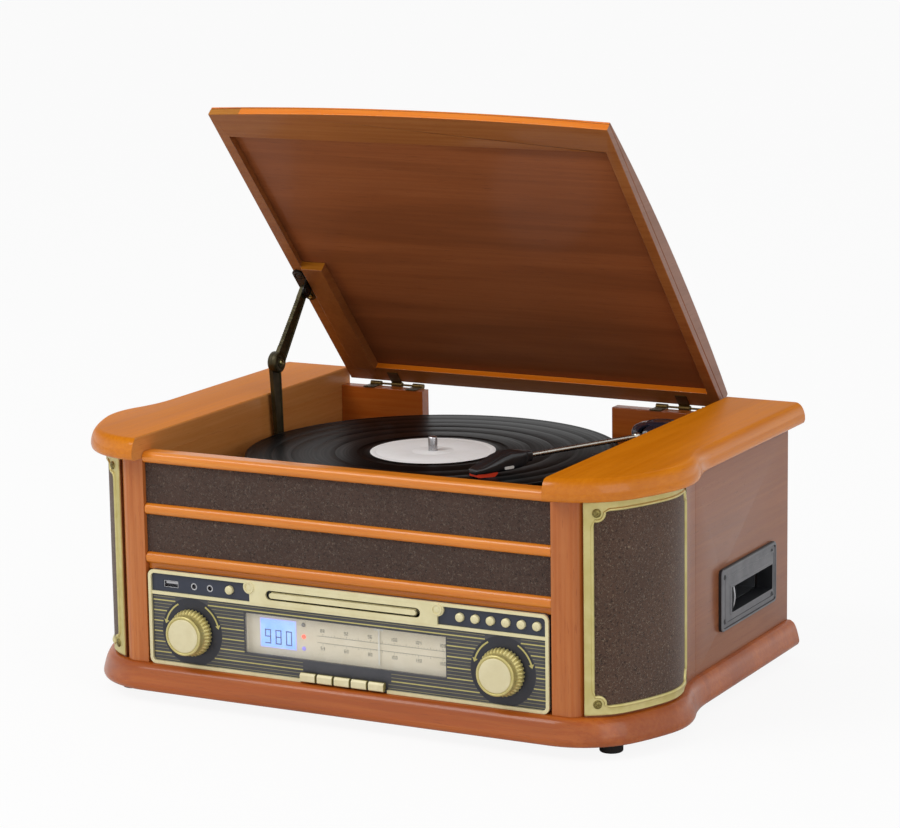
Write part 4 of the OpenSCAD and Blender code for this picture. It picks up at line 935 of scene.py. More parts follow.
def shared_out(piece: bpy.types.Object, finishes: Sequence[Finish],
               choose: Callable[[np.ndarray, np.ndarray], np.ndarray]) -> None:
    """Gives some of a piece's faces another finish than the piece's first.

    Args:
        piece: The piece.
        finishes: The further finishes, numbered from one.
        choose: Gives each face's number from the centres in millimetres and the normals.
    """
    for finish in finishes:
        piece.data.materials.append(finish.material())
    faces = piece.data.polygons
    centres, normals = np.empty(len(faces) * 3), np.empty(len(faces) * 3)
    faces.foreach_get("center", centres)
    faces.foreach_get("normal", normals)
    numbers = choose(centres.reshape(-1, 3) / MM, normals.reshape(-1, 3))
    faces.foreach_set("material_index", np.asarray(numbers, np.int32))


def kept(node: str, finish: Finish) -> bpy.types.Object:
    """Gives a node its finish and leaves its mesh as it is.

    Args:
        node: Name of the node.
        finish: Its finish.

    Returns:
        The node's own object.
    """
    piece = frame["nodes"][node]
    piece.data.materials.clear()
    piece.data.materials.append(finish.material())
    return piece


def arc(centre: Point, radius: float, start: float, end: float, count: int) -> np.ndarray:
    """Points on a circle: centre + radius (cos a, sin a) for angles in degrees from start to end."""
    a = np.radians(np.linspace(start, end, count))
    return np.column_stack([centre[0] + radius * np.cos(a), centre[1] + radius * np.sin(a)])


def rounded_rect(w: float, h: float, r: float, centre: Point = (0.0, 0.0), count: int = 7) -> np.ndarray:
    """Outline of a rectangle with round corners, anticlockwise from its right side.

    Args:
        w: Width.
        h: Height.
        r: Radius of the corners.
        centre: Middle of the rectangle.
        count: Number of points in each corner.

    Returns:
        Array of pairs.
    """
    x, z = w / 2 - r, h / 2 - r
    corners = [(x, z, 0), (-x, z, 90), (-x, -z, 180), (x, -z, 270)]
    return np.concatenate([arc((centre[0] + cx, centre[1] + cz), r, a, a + 90, count)
                           for cx, cz, a in corners])


# ---------------------------------------------------------------- cabinet

# Edge profiles from the bottom up: shortfall from the full overhang, and share of the height
CAP_EDGE = ((3.5, 0), (1.2, 0.06), (0.2, 0.17), (0, 0.3), (0.3, 0.46), (1.2, 0.64), (2.6, 0.8),
            (4.4, 0.91), (6.4, 0.98), (8.4, 1))
PLINTH_EDGE = ((3.4, 0), (1.4, 0.05), (0.3, 0.18), (0.6, 0.3), (1.4, 0.45), (2.4, 0.615),
               (3.6, 0.77), (5, 0.88), (6.6, 0.95), (8.6, 1))


@dataclass
class Cabinet:
    """Wooden case: plinth, walls, loudspeaker pods, front frame and caps.

    Attributes:
        width: Width over the side walls.
        depth: Depth from the stiles' front to the back.
        floor: Height of the plinth's top.
        wall: Height of the walls.
        plinth: Thickness of the plinth.
        cap: Thickness of the caps.
        plinth_lip: Overhang of the plinth.
        cap_lip: Overhang of the caps.
        bay: Half width of the record bay.
        arcs: End heading, radius and number of steps of each stretch of the pod's outline.
    """

    width: float = 462.0
    depth: float = 331.0
    floor: float = 31.0
    wall: float = 164.5
    plinth: float = 21.0
    cap: float = 17.5
    plinth_lip: float = 11.0
    cap_lip: float = 14.5
    bay: float = 176.7
    arcs: tuple[tuple[float, float, int], ...] = ((62, 54, 26), (72, 200, 8), (110, 58, 20), (90, -125, 14))

    def outline(self) -> np.ndarray:
        """Plan of the right wall with its headings.

        Along an arc from heading h0 to h the point moves by r (sin h - sin h0, cos h0 - cos h).

        Returns:
            Array of x, y and heading in degrees.
        """
        rows = [np.array([[0.0, 0.0, 0.0]])]
        for end, radius, steps in self.arcs:
            x, y, h0 = rows[-1][-1]
            h = np.linspace(h0, end, steps + 1)[1:]
            a, b = np.radians(h), radians(h0)
            across, back = radius * (np.sin(a) - sin(b)), radius * (cos(b) - np.cos(a))
            rows.append(np.column_stack([x + across, y + back, h]))
        path = np.concatenate(rows)
        path[:, 0] += self.width / 2 - path[-1, 0]
        return path

    def pushed(self, amount: float) -> np.ndarray:
        """The outline moved outwards: p + amount (sin h, -cos h).

        Args:
            amount: Distance in millimetres.

        Returns:
            Array of x and y.
        """
        path = self.outline()
        a = np.radians(path[:, 2])
        return path[:, :2] + amount * np.column_stack([np.sin(a), -np.cos(a)])

    @staticmethod
    def eased(edge: Sequence[Point], count: int) -> np.ndarray:
        """Finer edge profile: straight pieces between the given points, rounded by a cubic through them.

        Args:
            edge: Shortfall and share of height, from the bottom up.
            count: Number of points of the result.

        Returns:
            Array of shortfall and share of height.
        """
        height = 17.5           # millimetres that a share of one stands for along the profile
        p = np.asarray(edge, float)
        steps = np.linalg.norm(np.diff(p * [1, height], axis=0), axis=1)
        t = np.concatenate([[0], np.cumsum(steps)])
        slope = np.gradient(p, t, axis=0)
        u = np.linspace(0, t[-1], count)
        k = np.clip(np.searchsorted(t, u, side="right") - 1, 0, len(t) - 2)
        w = t[k + 1] - t[k]
        s = ((u - t[k]) / w)[:, None]
        w = w[:, None]
        curve = ((2 * s ** 3 - 3 * s ** 2 + 1) * p[k] + (s ** 3 - 2 * s ** 2 + s) * w * slope[k]
                 + (3 * s ** 2 - 2 * s ** 3) * p[k + 1] + (s ** 3 - s ** 2) * w * slope[k + 1])
        return np.column_stack([np.clip(curve[:, 0], 0, None), np.clip(curve[:, 1], 0, 1)])

    def build_caps(self) -> None:
        """Rings of the wall's outline pushed out by a bull-nosed profile, one set for each side."""
        skin = Skin()
        base = self.floor + self.wall
        rounding, start, rate = 0.9, 0.93, 13       # of the inner top edge, from a share of the height on
        edge = self.eased(CAP_EDGE, 26)
        for side in (-1, 1):
            rings = []
            for short, share in edge:
                out = self.cap_lip - short
                inner = min(rounding, max(0.0, (share - start) * rate))
                wall = self.pushed(out)
                ring = np.concatenate([[[self.bay + inner, self.depth], [self.bay + inner, -out]], wall,
                                       [[self.width / 2 + out, self.depth]]])
                level = np.full(len(ring), base + share * self.cap)
                rings.append(np.column_stack([ring[:, 0] * side, ring[:, 1], level]))
            skin.grid(np.stack(rings))
        caps = skin.made("caps_skin", CAP_WOOD, "cabinet", "case_wood", ("caps",), 50)
        shared_out(caps, [BAY_WOOD],
                   lambda c, n: (np.abs(n[:, 0]) > FACING) & (np.abs(c[:, 0]) < self.bay + 0.8))

    def build_plinth(self) -> None:
        """Rings of the whole outline pushed out by an ogee profile."""
        rings = []
        for short, share in self.eased(PLINTH_EDGE, 26):
            out = self.plinth_lip - short
            right = self.pushed(out)
            left = right[::-1] * [-1, 1]
            half = self.width / 2 + out
            ring = np.concatenate([left, right, [[half, self.depth], [-half, self.depth]]])
            level = np.full(len(ring), self.floor - self.plinth * (1 - share))
            rings.append(np.column_stack([ring, level]))
        Skin().grid(np.stack(rings)).made("plinth_skin", PLINTH_WOOD, "cabinet", "case_wood", ("plinth",), 50)

    def build(self) -> None:
        """Builds the case's own pieces and dresses its solids."""
        self.build_caps()
        self.build_plinth()
        boards = dressed("side_boards", WALL_WOOD, 0.5)
        shared_out(boards, [BAY_WOOD], lambda c, n: np.abs(c[:, 0]) < self.bay + 0.5)
        dressed("speaker_pods", WALL_WOOD, 0)
        front = dressed("front_frame", RAIL_WOOD, 0.5)
        shared_out(front, [STILE_WOOD], lambda c, n: np.abs(c[:, 0]) > self.bay - 0.4)
        dressed("hinge_blocks", PLINTH_WOOD, 1.2)
        dressed("cloth_strips", STRIP_CLOTH, 0)
        dressed("feet", RUBBER, 0)
        dressed("back_panel", BACK_BOARD, 0.4)
        kept("speakers", PAPER_CONE)
        kept("main_board", BOARD)
        Grille(self).build()


@dataclass
class Grille:
    """Gilt frames over the loudspeaker cloth, with a raised bead and a screwed lug at each corner.

    Attributes:
        case: Cabinet whose wall they follow.
        left: Distance of the frame's edge from the middle of the case.
        back: Depth at which the frame ends.
        low: Height of its lower edge.
        high: Height of its upper edge.
        bar: Width of its bars.
        lug: Radius of the lugs.
        lug_in: Distance of the lugs' centres from the frame's edges.
        rise: Height of the bead over the wall.
    """

    case: Cabinet
    left: float = 200.8
    back: float = 112.0
    low: float = 32.5
    high: float = 194.0
    bar: float = 7.6
    lug: float = 7.0
    lug_in: tuple[float, float] = (9.6, 8.6)
    rise: float = 3.0

    def __post_init__(self) -> None:
        """Measures the wall's outline along its length."""
        path = self.case.outline()
        self.path = path
        self.run = np.concatenate([[0], np.cumsum(np.linalg.norm(np.diff(path[:, :2], axis=0), axis=1))])
        fine = np.linspace(0, self.run[-1], 3000)
        x, y = (np.interp(fine, self.run, path[:, k]) for k in (0, 1))
        self.start = fine[np.argmax(x > self.left)]
        front = fine > self.start + 60
        self.end = fine[front][np.argmax(y[front] > self.back)]

    def on_wall(self, along: np.ndarray, z: np.ndarray, out: np.ndarray) -> np.ndarray:
        """Points over the wall: p(s) + out (sin h, -cos h), with p and the heading h read at s.

        Args:
            along: Distance along the outline.
            z: Height.
            out: Distance from the wall.

        Returns:
            Points with x, y and z last.
        """
        x, y, h = (np.interp(along, self.run, self.path[:, k]) for k in (0, 1, 2))
        a = np.radians(h)
        return np.stack(np.broadcast_arrays(x + out * np.sin(a), y - out * np.cos(a), z), -1)

    def loops(self) -> tuple[np.ndarray, np.ndarray, np.ndarray]:
        """Window's edge, its outward directions and the matching points of the frame's edge.

        The edge runs anticlockwise: round each corner's lug by a concave arc, then straight on.

        Returns:
            Three arrays of pairs (distance along the outline, height).
        """
        arc_steps, line_steps, trim = 26, 44, 0.004     # points of each corner and side, without doubled ends
        edge, away, outer = [], [], []
        corners = [(self.end, self.high, -1, -1), (self.start, self.high, 1, -1),
                   (self.start, self.low, 1, 1), (self.end, self.low, -1, 1)]
        for k, (cs, cz, us, uz) in enumerate(corners):
            centre = np.array([cs + us * self.lug_in[0], cz + uz * self.lug_in[1]])
            inner = np.array([cs + us * self.bar, cz + uz * self.bar])
            reach_z = sqrt(self.lug ** 2 - (inner[0] - centre[0]) ** 2)
            reach_s = sqrt(self.lug ** 2 - (inner[1] - centre[1]) ** 2)
            on_side = np.array([inner[0], centre[1] + uz * reach_z])
            on_end = np.array([centre[0] + us * reach_s, inner[1]])
            first, last = (on_side, on_end) if k % 2 == 0 else (on_end, on_side)
            a0, a1 = (np.arctan2(*(q - centre)[::-1]) for q in (first, last))
            turn = (a1 - a0 + pi) % (2 * pi) - pi
            a = a0 + np.linspace(0, 1, arc_steps) * turn
            ring = centre + self.lug * np.column_stack([np.cos(a), np.sin(a)])
            corner = np.array([cs, cz], float)
            foot_first = np.where(np.arange(2) == (0 if k % 2 == 0 else 1), corner, first)
            foot_last = np.where(np.arange(2) == (1 if k % 2 == 0 else 0), corner, last)
            share = np.linspace(0, 2, arc_steps)[:, None]
            rim = np.where(share < 1, foot_first + (corner - foot_first) * share,
                           corner + (foot_last - corner) * (share - 1))
            edge.append(ring)
            away.append((centre - ring) / self.lug)
            outer.append(rim)
            nxt = corners[(k + 1) % 4]
            stop = last.copy()
            axis = 0 if k % 2 == 0 else 1
            stop[axis] = [nxt[0] + nxt[2] * self.lug_in[0], nxt[1] + nxt[3] * self.lug_in[1]][axis]
            beyond = self.lug_in[1 - axis] - self.bar
            stop[axis] += [nxt[2], nxt[3]][axis] * sqrt(self.lug ** 2 - beyond ** 2)
            steps = np.linspace(0, 1, line_steps)[:, None]
            line = last + (stop - last) * steps
            line = line[(steps[:, 0] > trim) & (steps[:, 0] < 1 - trim)]
            out = np.zeros(2)
            out[1 - axis] = -[us, uz][1 - axis]
            edge.append(line)
            away.append(np.broadcast_to(out, line.shape))
            outer.append(np.where(np.arange(2) == 1 - axis, corner, line))
        return np.concatenate(edge), np.concatenate(away), np.concatenate(outer)

    def build_frame(self, skin: Skin, side: int) -> None:
        """Profile of the bead and the flange carried round the window.

        The bead is given by the distance from the window, the flange by the share of the way to the edge.

        Args:
            skin: Skin that takes the frame.
            side: One for the right, minus one for the left.
        """
        edge, away, outer = self.loops()
        bead = [(0.0, 0.15), (0.0, 1.5), (0.25, 2.3), (0.8, 2.85), (1.3, self.rise), (1.8, 2.85),
                (2.25, 2.35), (2.5, 1.75)]
        flange = [(0.3, 1.6), (0.8, 1.6), (0.9, 1.75), (0.97, 1.55), (1.0, 1.2), (1.0, 0.15)]
        rows = [(edge + away * d, h) for d, h in bead]
        inner = rows[-1][0]
        for share, h in flange:
            rows.append((inner + (outer - inner) * share, h))
        points = np.stack([self.on_wall(q[:, 0], q[:, 1], np.full(len(q), h)) for q, h in rows])
        points[..., 0] *= side
        skin.grid(points, round_u=True)

    def build_screws(self, skin: Skin, side: int) -> None:
        """Domed screw heads with a ring, turned round the wall's normal: (r cos a, r sin a, h).

        Args:
            skin: Skin that takes the heads.
            side: One for the right, minus one for the left.
        """
        dome = np.array([(3.3, 0.2), (3.3, 2.2), (3.05, 2.5), (2.55, 2.5), (2.45, 2.15), (2.3, 2.15),
                         (2.2, 2.75), (1.6, 2.95), (0.9, 3.0), (0.75, 2.3), (0.02, 2.3)])
        a = np.linspace(0, 2 * pi, 36, endpoint=False)
        for s in (self.start + self.lug_in[0], self.end - self.lug_in[0]):
            for z in (self.low + self.lug_in[1], self.high - self.lug_in[1]):
                r, h = dome[:, :1], dome[:, 1:]
                base = self.on_wall(np.array([s]), np.array([z]), np.array([0.0]))[0]
                tip = self.on_wall(np.array([s]), np.array([z]), np.array([1.0]))[0]
                out = tip - base
                beside = np.array([-out[1], out[0], 0])
                up = np.array([0, 0, 1.0])
                points = (base + (h * np.ones_like(a))[..., None] * out
                          + (r * np.cos(a))[..., None] * beside + (r * np.sin(a))[..., None] * up)
                points[..., 0] *= side
                skin.grid(points)

    def build_cloth(self, name: str, side: int) -> None:
        """Cloth stretched round the wall: a thin slab whose section, along the outline, is carried up.

        Args:
            name: Name of the piece.
            side: One for the right, minus one for the left.
        """
        tuck = self.bar - 0.8       # width of the frame's bar that stands beside the cloth
        face, rear_face = 1.3, 0.15
        s = np.linspace(self.start + tuck, self.end - tuck, 90)
        z = np.linspace(self.low + tuck, self.high - tuck, 12)[:, None]
        front = self.on_wall(s, z, np.full_like(s, face))
        rear = self.on_wall(s[::-1], z, np.full_like(s, rear_face))
        points = np.concatenate([front, rear], axis=1)
        points[..., 0] *= side
        skin = Skin()
        skin.grid(points)
        cloth = skin.made(name, CLOTH, "cabinet", "cloth", ("grille_cloths",))
        flat = ((s[-1] - s[0]) * MM, (self.high - self.low - 2 * tuck) * MM)
        log.info("%s: %.0f by %.0f mm flat", name, flat[0] / MM, flat[1] / MM)

    def build(self) -> None:
        """Builds both frames, their cloths and their screws."""
        frames, screws = Skin(), Skin()
        self.build_cloth("grille_cloth_left_skin", -1)
        self.build_cloth("grille_cloth_right_skin", 1)
        for side in (-1, 1):
            self.build_frame(frames, side)
            self.build_screws(screws, side)
        frames.made("grille_frames_skin", GILT, "cabinet", "gilt", ("grille_frames",), 40)
        screws.made("grille_screws_skin", SCREW, "cabinet", "screw_brass", ("grille_screws",), 40)


# ---------------------------------------------------------------- front


# Strokes of each figure: a top, b and c right, d bottom, e and f left, g middle
SEGMENTS = {"0": "abcdef", "1": "bc", "2": "abged", "3": "abgcd", "4": "fgbc", "5": "afgcd", "6": "afgedc",
            "7": "abc", "8": "abcdefg", "9": "abcdfg"}


def digit_strokes(text: str, left: float, base: float, w: float, h: float, pen: float, step: float) -> list:
    """Strokes of a row of seven-segment figures.

    Args:
        text: Figures; a space leaves a place free.
        left: Left end of the row.
        base: Lower edge of the figures.
        w: Width of a figure.
        h: Height of a figure.
        pen: Width of a stroke.
        step: Distance from one figure to the next.

    Returns:
        Low and high corners (x, z) of the strokes.
    """
    strokes = []
    for k, figure in enumerate(text):
        x, m = left + k * step, base + h / 2
        bars = {"a": (x, base + h - pen, x + w, base + h), "g": (x, m - pen / 2, x + w, m + pen / 2),
                "d": (x, base, x + w, base + pen), "f": (x, m, x + pen, base + h), "e": (x, base, x + pen, m),
                "b": (x + w - pen, m, x + w, base + h), "c": (x + w - pen, base, x + w, m)}
        strokes += [bars[c] for c in SEGMENTS.get(figure, "")]
    return strokes


@dataclass
class RadioPanel:
    """Radio front: striped panel, gilt trim, dial, display, knobs and keys.

    Attributes:
        face: Depth of the panel's face behind the stiles' front.
        half: Half width inside the rim.
        knob: Distance of the knobs from the middle and their height.
        disc: Radius of the plain disc round a knob.
        window: Half width, low and high edge of the window.
        line_z: Height of the lowest bold stripe.
        pitch: Distance between stripes.
        print_t: Thickness of the print.
        sink: Depth that the print reaches behind its face.
        plate: Depth of the dial behind the stiles' front.
    """

    face: float = 1.5
    half: float = 171.9
    knob: tuple[float, float] = (136.0, 59.6)
    disc: float = 27.4
    window: tuple[float, float, float] = (88.0, 48.7, 80.7)
    line_z: float = 40.8
    pitch: float = 2.8
    print_t: float = 0.1
    sink: float = 0.04
    plate: float = 8.0

    def free_runs(self, z: float) -> list[tuple[float, float]]:
        """Stretches of a stripe that stay clear of knobs, window, keys and their plain patch.

        A disc of radius R about (c, h) takes |x - c| < sqrt(R^2 - (z - h)^2) out of the stripe.

        Args:
            z: Height of the stripe.

        Returns:
            Start and end of each stretch.
        """
        margin = 0.8                                # bare edge round the window and along the rim
        arrow_rise, arrow_half = 22.0, 15.0         # patch over each knob with its arrows
        key_top, key_half = 40.2, 38.2              # keys
        patch_top, patch = 47.0, (-36.5, 41.0)      # plain patch over the keys
        taken = []
        rise = z - self.knob[1]
        if abs(rise) < self.disc:
            reach = sqrt(self.disc ** 2 - rise ** 2)
            taken += [(s * self.knob[0] - reach, s * self.knob[0] + reach) for s in (-1, 1)]
        if rise > arrow_rise:
            taken += [(s * self.knob[0] - arrow_half, s * self.knob[0] + arrow_half) for s in (-1, 1)]
        half, low, high = self.window
        if low - margin < z < high + margin:
            taken.append((-half - margin, half + margin))
        if z < key_top:
            taken.append((-key_half, key_half))
        elif z < patch_top:
            taken.append(patch)
        runs, start = [], -self.half + margin
        for low_x, high_x in sorted(taken):
            if low_x > start:
                runs.append((start, low_x))
            start = max(start, high_x)
        if start < self.half - margin:
            runs.append((start, self.half - margin))
        return runs

    def flat(self, skin: Skin, x0: float, z0: float, x1: float, z1: float, y: float) -> None:
        """Adds a print of the usual thickness between two corners, in front of the depth y."""
        skin.box((x0, y - self.print_t, z0), (x1, y + self.sink, z1))

    def build_stripes(self) -> None:
        """Every third stripe is bold, the two between are thin."""
        first, last = -2, 16            # numbers of the stripes, counted from the lowest bold one
        bold_pen, thin_pen = 0.95, 0.5
        bold, thin = Skin(), Skin()
        for k in range(first, last + 1):
            z = self.line_z + k * self.pitch
            skin, pen = (bold, bold_pen) if k % 3 == 0 else (thin, thin_pen)
            for start, end in self.free_runs(z):
                self.flat(skin, start, z - pen / 2, end, z + pen / 2, self.face)
        for s in (-1, 1):
            self.build_arrows(bold, s * self.knob[0])
        bold.made("panel_bold_lines", GILT_LINE, "cabinet", "gilt")
        thin.made("panel_thin_lines", FAINT_LINE, "cabinet", "gilt")

    def build_arrows(self, skin: Skin, x: float) -> None:
        """Two curved arrows over a knob: arcs of one radius that end in a head at the side.

        Args:
            skin: Skin that takes them.
            x: Middle of the knob.
        """
        radius, pen = 24.6, 0.65
        head, spread, steps = 7, 2.3, 22        # head's angle and half width, and points of each arc
        for top, end, s in ((60, 18, -1), (120, 162, 1)):
            outer = arc((x, self.knob[1]), radius + pen, top, end, steps)
            inner = arc((x, self.knob[1]), radius - pen, end, top, steps)
            rows = np.stack([np.column_stack([o[:, 0], np.full(len(o), y), o[:, 1]])
                             for y in (self.face - self.print_t, self.face + self.sink)
                             for o in (outer, inner[::-1])])
            skin.grid(np.stack([rows[0], rows[1], rows[3], rows[2]], 1))
            tip = arc((x, self.knob[1]), radius, end + s * head, end + s * head, 1)[0]
            wide = [arc((x, self.knob[1]), radius + r, end, end, 1)[0] for r in (spread, -spread)]
            skin.bar([wide[0], wide[1], tip], self.face - self.print_t, self.face + self.sink)

    def build_knob(self, node: str, x: float, body: str) -> None:
        """Turned knob: r(a) = r - d (1 + cos n a) / 2 in the toothed zone, with a grooved face.

        Args:
            node: Node that it stands in for.
            x: Middle of the knob.
            body: Body that it turns with.
        """
        teeth, depth = 36, 1.25
        waist, cone = 16.0, 1.6         # radius at which the teeth start and the width over which they deepen

        def notch(angle: np.ndarray, radius: np.ndarray) -> np.ndarray:
            """Cuts teeth where the radius is that of the flange or its cone."""
            share = np.clip((radius - waist) / cone, 0, 1)
            return radius - depth * share * (0.5 + 0.5 * np.cos(teeth * angle)) ** 1.5

        flange = [(0.01, 0.8), (18.2, 0.8), (18.75, 1.3), (18.78, 2.6), (18.6, 4.2), (18.1, 5.1),
                  (17.2, 6.1), (16.4, 6.9), (15.9, 7.4), (15.5, 8.4), (15.3, 9.8), (15.25, 11.2),
                  (15.45, 12.2), (15.75, 12.9), (15.85, 13.5), (15.6, 14.2), (15.0, 14.6), (14.4, 14.65),
                  (14.0, 14.4), (13.8, 13.9), (13.4, 13.9), (0.01, 13.9)]
        face = [(0.01, 13.85), (13.3, 13.85), (13.3, 14.2), (13.0, 14.5), (12.3, 14.66), (9, 14.69),
                (5, 14.7), (0.01, 14.7)]
        place = (x, self.face, self.knob[1])
        rim_skin = Skin().turned([(r, -h) for r, h in flange], place, 1, 432, notch)
        rim_skin.made(node + "_skin", GILT, body, "gilt", (node,), 40)
        Skin().turned([(r, -h) for r, h in face], place, 1, 96).made(
            node + "_face", GILT_FACE, body, "gilt", (), 40)
        back = Skin().turned([(0.01, 14), (2.95, 14), (2.95, -0.9), (0.01, -0.9)], place, 1, 32)
        if node == "tuning_knob":
            rim, groove = 11.4, 10.0
            back.turned([(0.01, 21), (rim, 21), (rim, 20), (groove, 19.4), (groove, 17.6), (rim, 17),
                         (rim, 16), (0.01, 16)], place, 1, 64)
        back.made(node + "_shaft", STEEL, body, "gilt", (), 40)

    def build_display(self) -> None:
        """Lit display with plain figures, in a thin frame, and three lamps beside it."""
        x0, x1, z0, z1 = -77.0, -46.0, 54.1, 76.1
        front, depth = self.plate - 0.5, 6.0
        edge = 0.7                              # width of the frame
        lamp_x, lamp_pitch = -39.0, 9.4
        Skin().box((x0, front, z0), (x1, front + depth, z1)).made(
            "lcd_display_skin", DISPLAY, "cabinet", "display_blue", ("lcd_display",))
        rim = Skin()
        for a, b, c, d in ((x0 - edge, z0 - edge, x1 + edge, z0), (x0 - edge, z1, x1 + edge, z1 + edge),
                           (x0 - edge, z0, x0, z1), (x1, z0, x1 + edge, z1)):
            self.flat(rim, a, b, c, d, front + 0.1)
        rim.made("lcd_display_rim", GLOW_EDGE, "cabinet", "display_blue")
        ink = Skin()
        for a, b, c, d in digit_strokes("980", x0 + 3.6, z0 + 2.4, 5.4, 11.6, 0.95, 9.4):
            self.flat(ink, a, b, c, d, front)
        ink.made("lcd_figures", DIGIT, "cabinet", "display_blue")
        for name, step, finish in (("lamp_top", 1, LAMP_GREY), ("lamp_middle", 0, LAMP_RED),
                                   ("lamp_low", -1, LAMP_VIOLET)):
            dome = [(0.01, -1.2), (0.6, -1.15), (1.15, -0.9), (1.5, -0.4), (1.6, 0.0), (1.6, 3.9),
                    (0.01, 3.9)]
            place = (lamp_x, self.plate - 0.2, (z0 + z1) / 2 + step * lamp_pitch)
            Skin().turned(dome, place, 1, 28).made(name, finish, "cabinet", "display_blue")

    def build_scale(self) -> None:
        """Dial print: one long line with ticks for each band and plain numbers over and under it."""
        ink = Skin()
        top, low, y = 67.2, 62.0, self.plate
        first, pitch, every = -22.0, 2.6, 4         # first tick, and how often one is long
        long, short, half_pen = 1.9, 1.0, 0.13
        size, step = (1.45, 2.7, 0.36), 2.1         # width, height and stroke of a figure, and their distance
        for z in (top, low):
            self.flat(ink, -27, z - 0.15, 84, z + 0.15, y)
        for k in range(41):
            x = first + k * pitch
            tall = long if k % every == 0 else short
            self.flat(ink, x - half_pen, top, x + half_pen, top + tall, y)
            self.flat(ink, x - half_pen, low - tall, x + half_pen, low, y)
        for numbers, base in ((("88", "92", "96", "100", "104", "108"), top + 3.0),
                              (("53", "60", "80", "100", "130", "160"), low - 5.7)):
            for k, text in enumerate(numbers):
                x = first + k * 2 * every * pitch - len(text) * step / 2
                for a, b, c, d in digit_strokes(text, x, base, *size, step):
                    self.flat(ink, a, b, c, d, y)
        ink.made("dial_print", INK, "cabinet", "scale_cream")

    def build_bosses(self) -> None:
        """Ringed end caps beside the disc slot."""
        cap = Skin()
        for s in (-1, 1):
            cap.turned([(0.01, 1.4), (2.4, 1.4), (2.4, -2.2), (2.2, -2.5), (1.2, -2.7), (0.01, -2.75)],
                       (s * 82.0, self.face, 101.8), 1, 40)
        cap.made("fascia_caps", GILT_PALE, "cabinet", "gilt")

    def build(self) -> None:
        """Builds the prints, the display and the knobs, and dresses the other solids."""
        dressed("panel_plate", PANEL, 0.2)
        dressed("panel_trim", GILT_PALE, 0.3)
        dressed("dial_window", WINDOW, 0.2)
        dressed("dial_scale", SCALE, 0)
        dressed("dial_pointer", WHITE, 0)
        self.build_bosses()
        self.build_stripes()
        self.build_display()
        self.build_scale()
        self.build_knob("volume_knob", -self.knob[0], "volume")
        self.build_knob("tuning_knob", self.knob[0], "tuning")
        for k in range(1, 6):
            key = dressed(f"source_key_{k}", GILT_FACE, 0.5)
            shared_out(key, [GILT_SHADE], lambda c, n: n[:, 1] > -FACING)
        for name in ["record_button"] + [f"cd_button_{k}" for k in range(1, 7)]:
            dressed(name, GILT_PALE, 0)
        dressed("sockets", SOCKET, 0.1)
        dressed("cd_tray", GILT_PALE, 0.3)
        kept("cd_deck", STEEL)


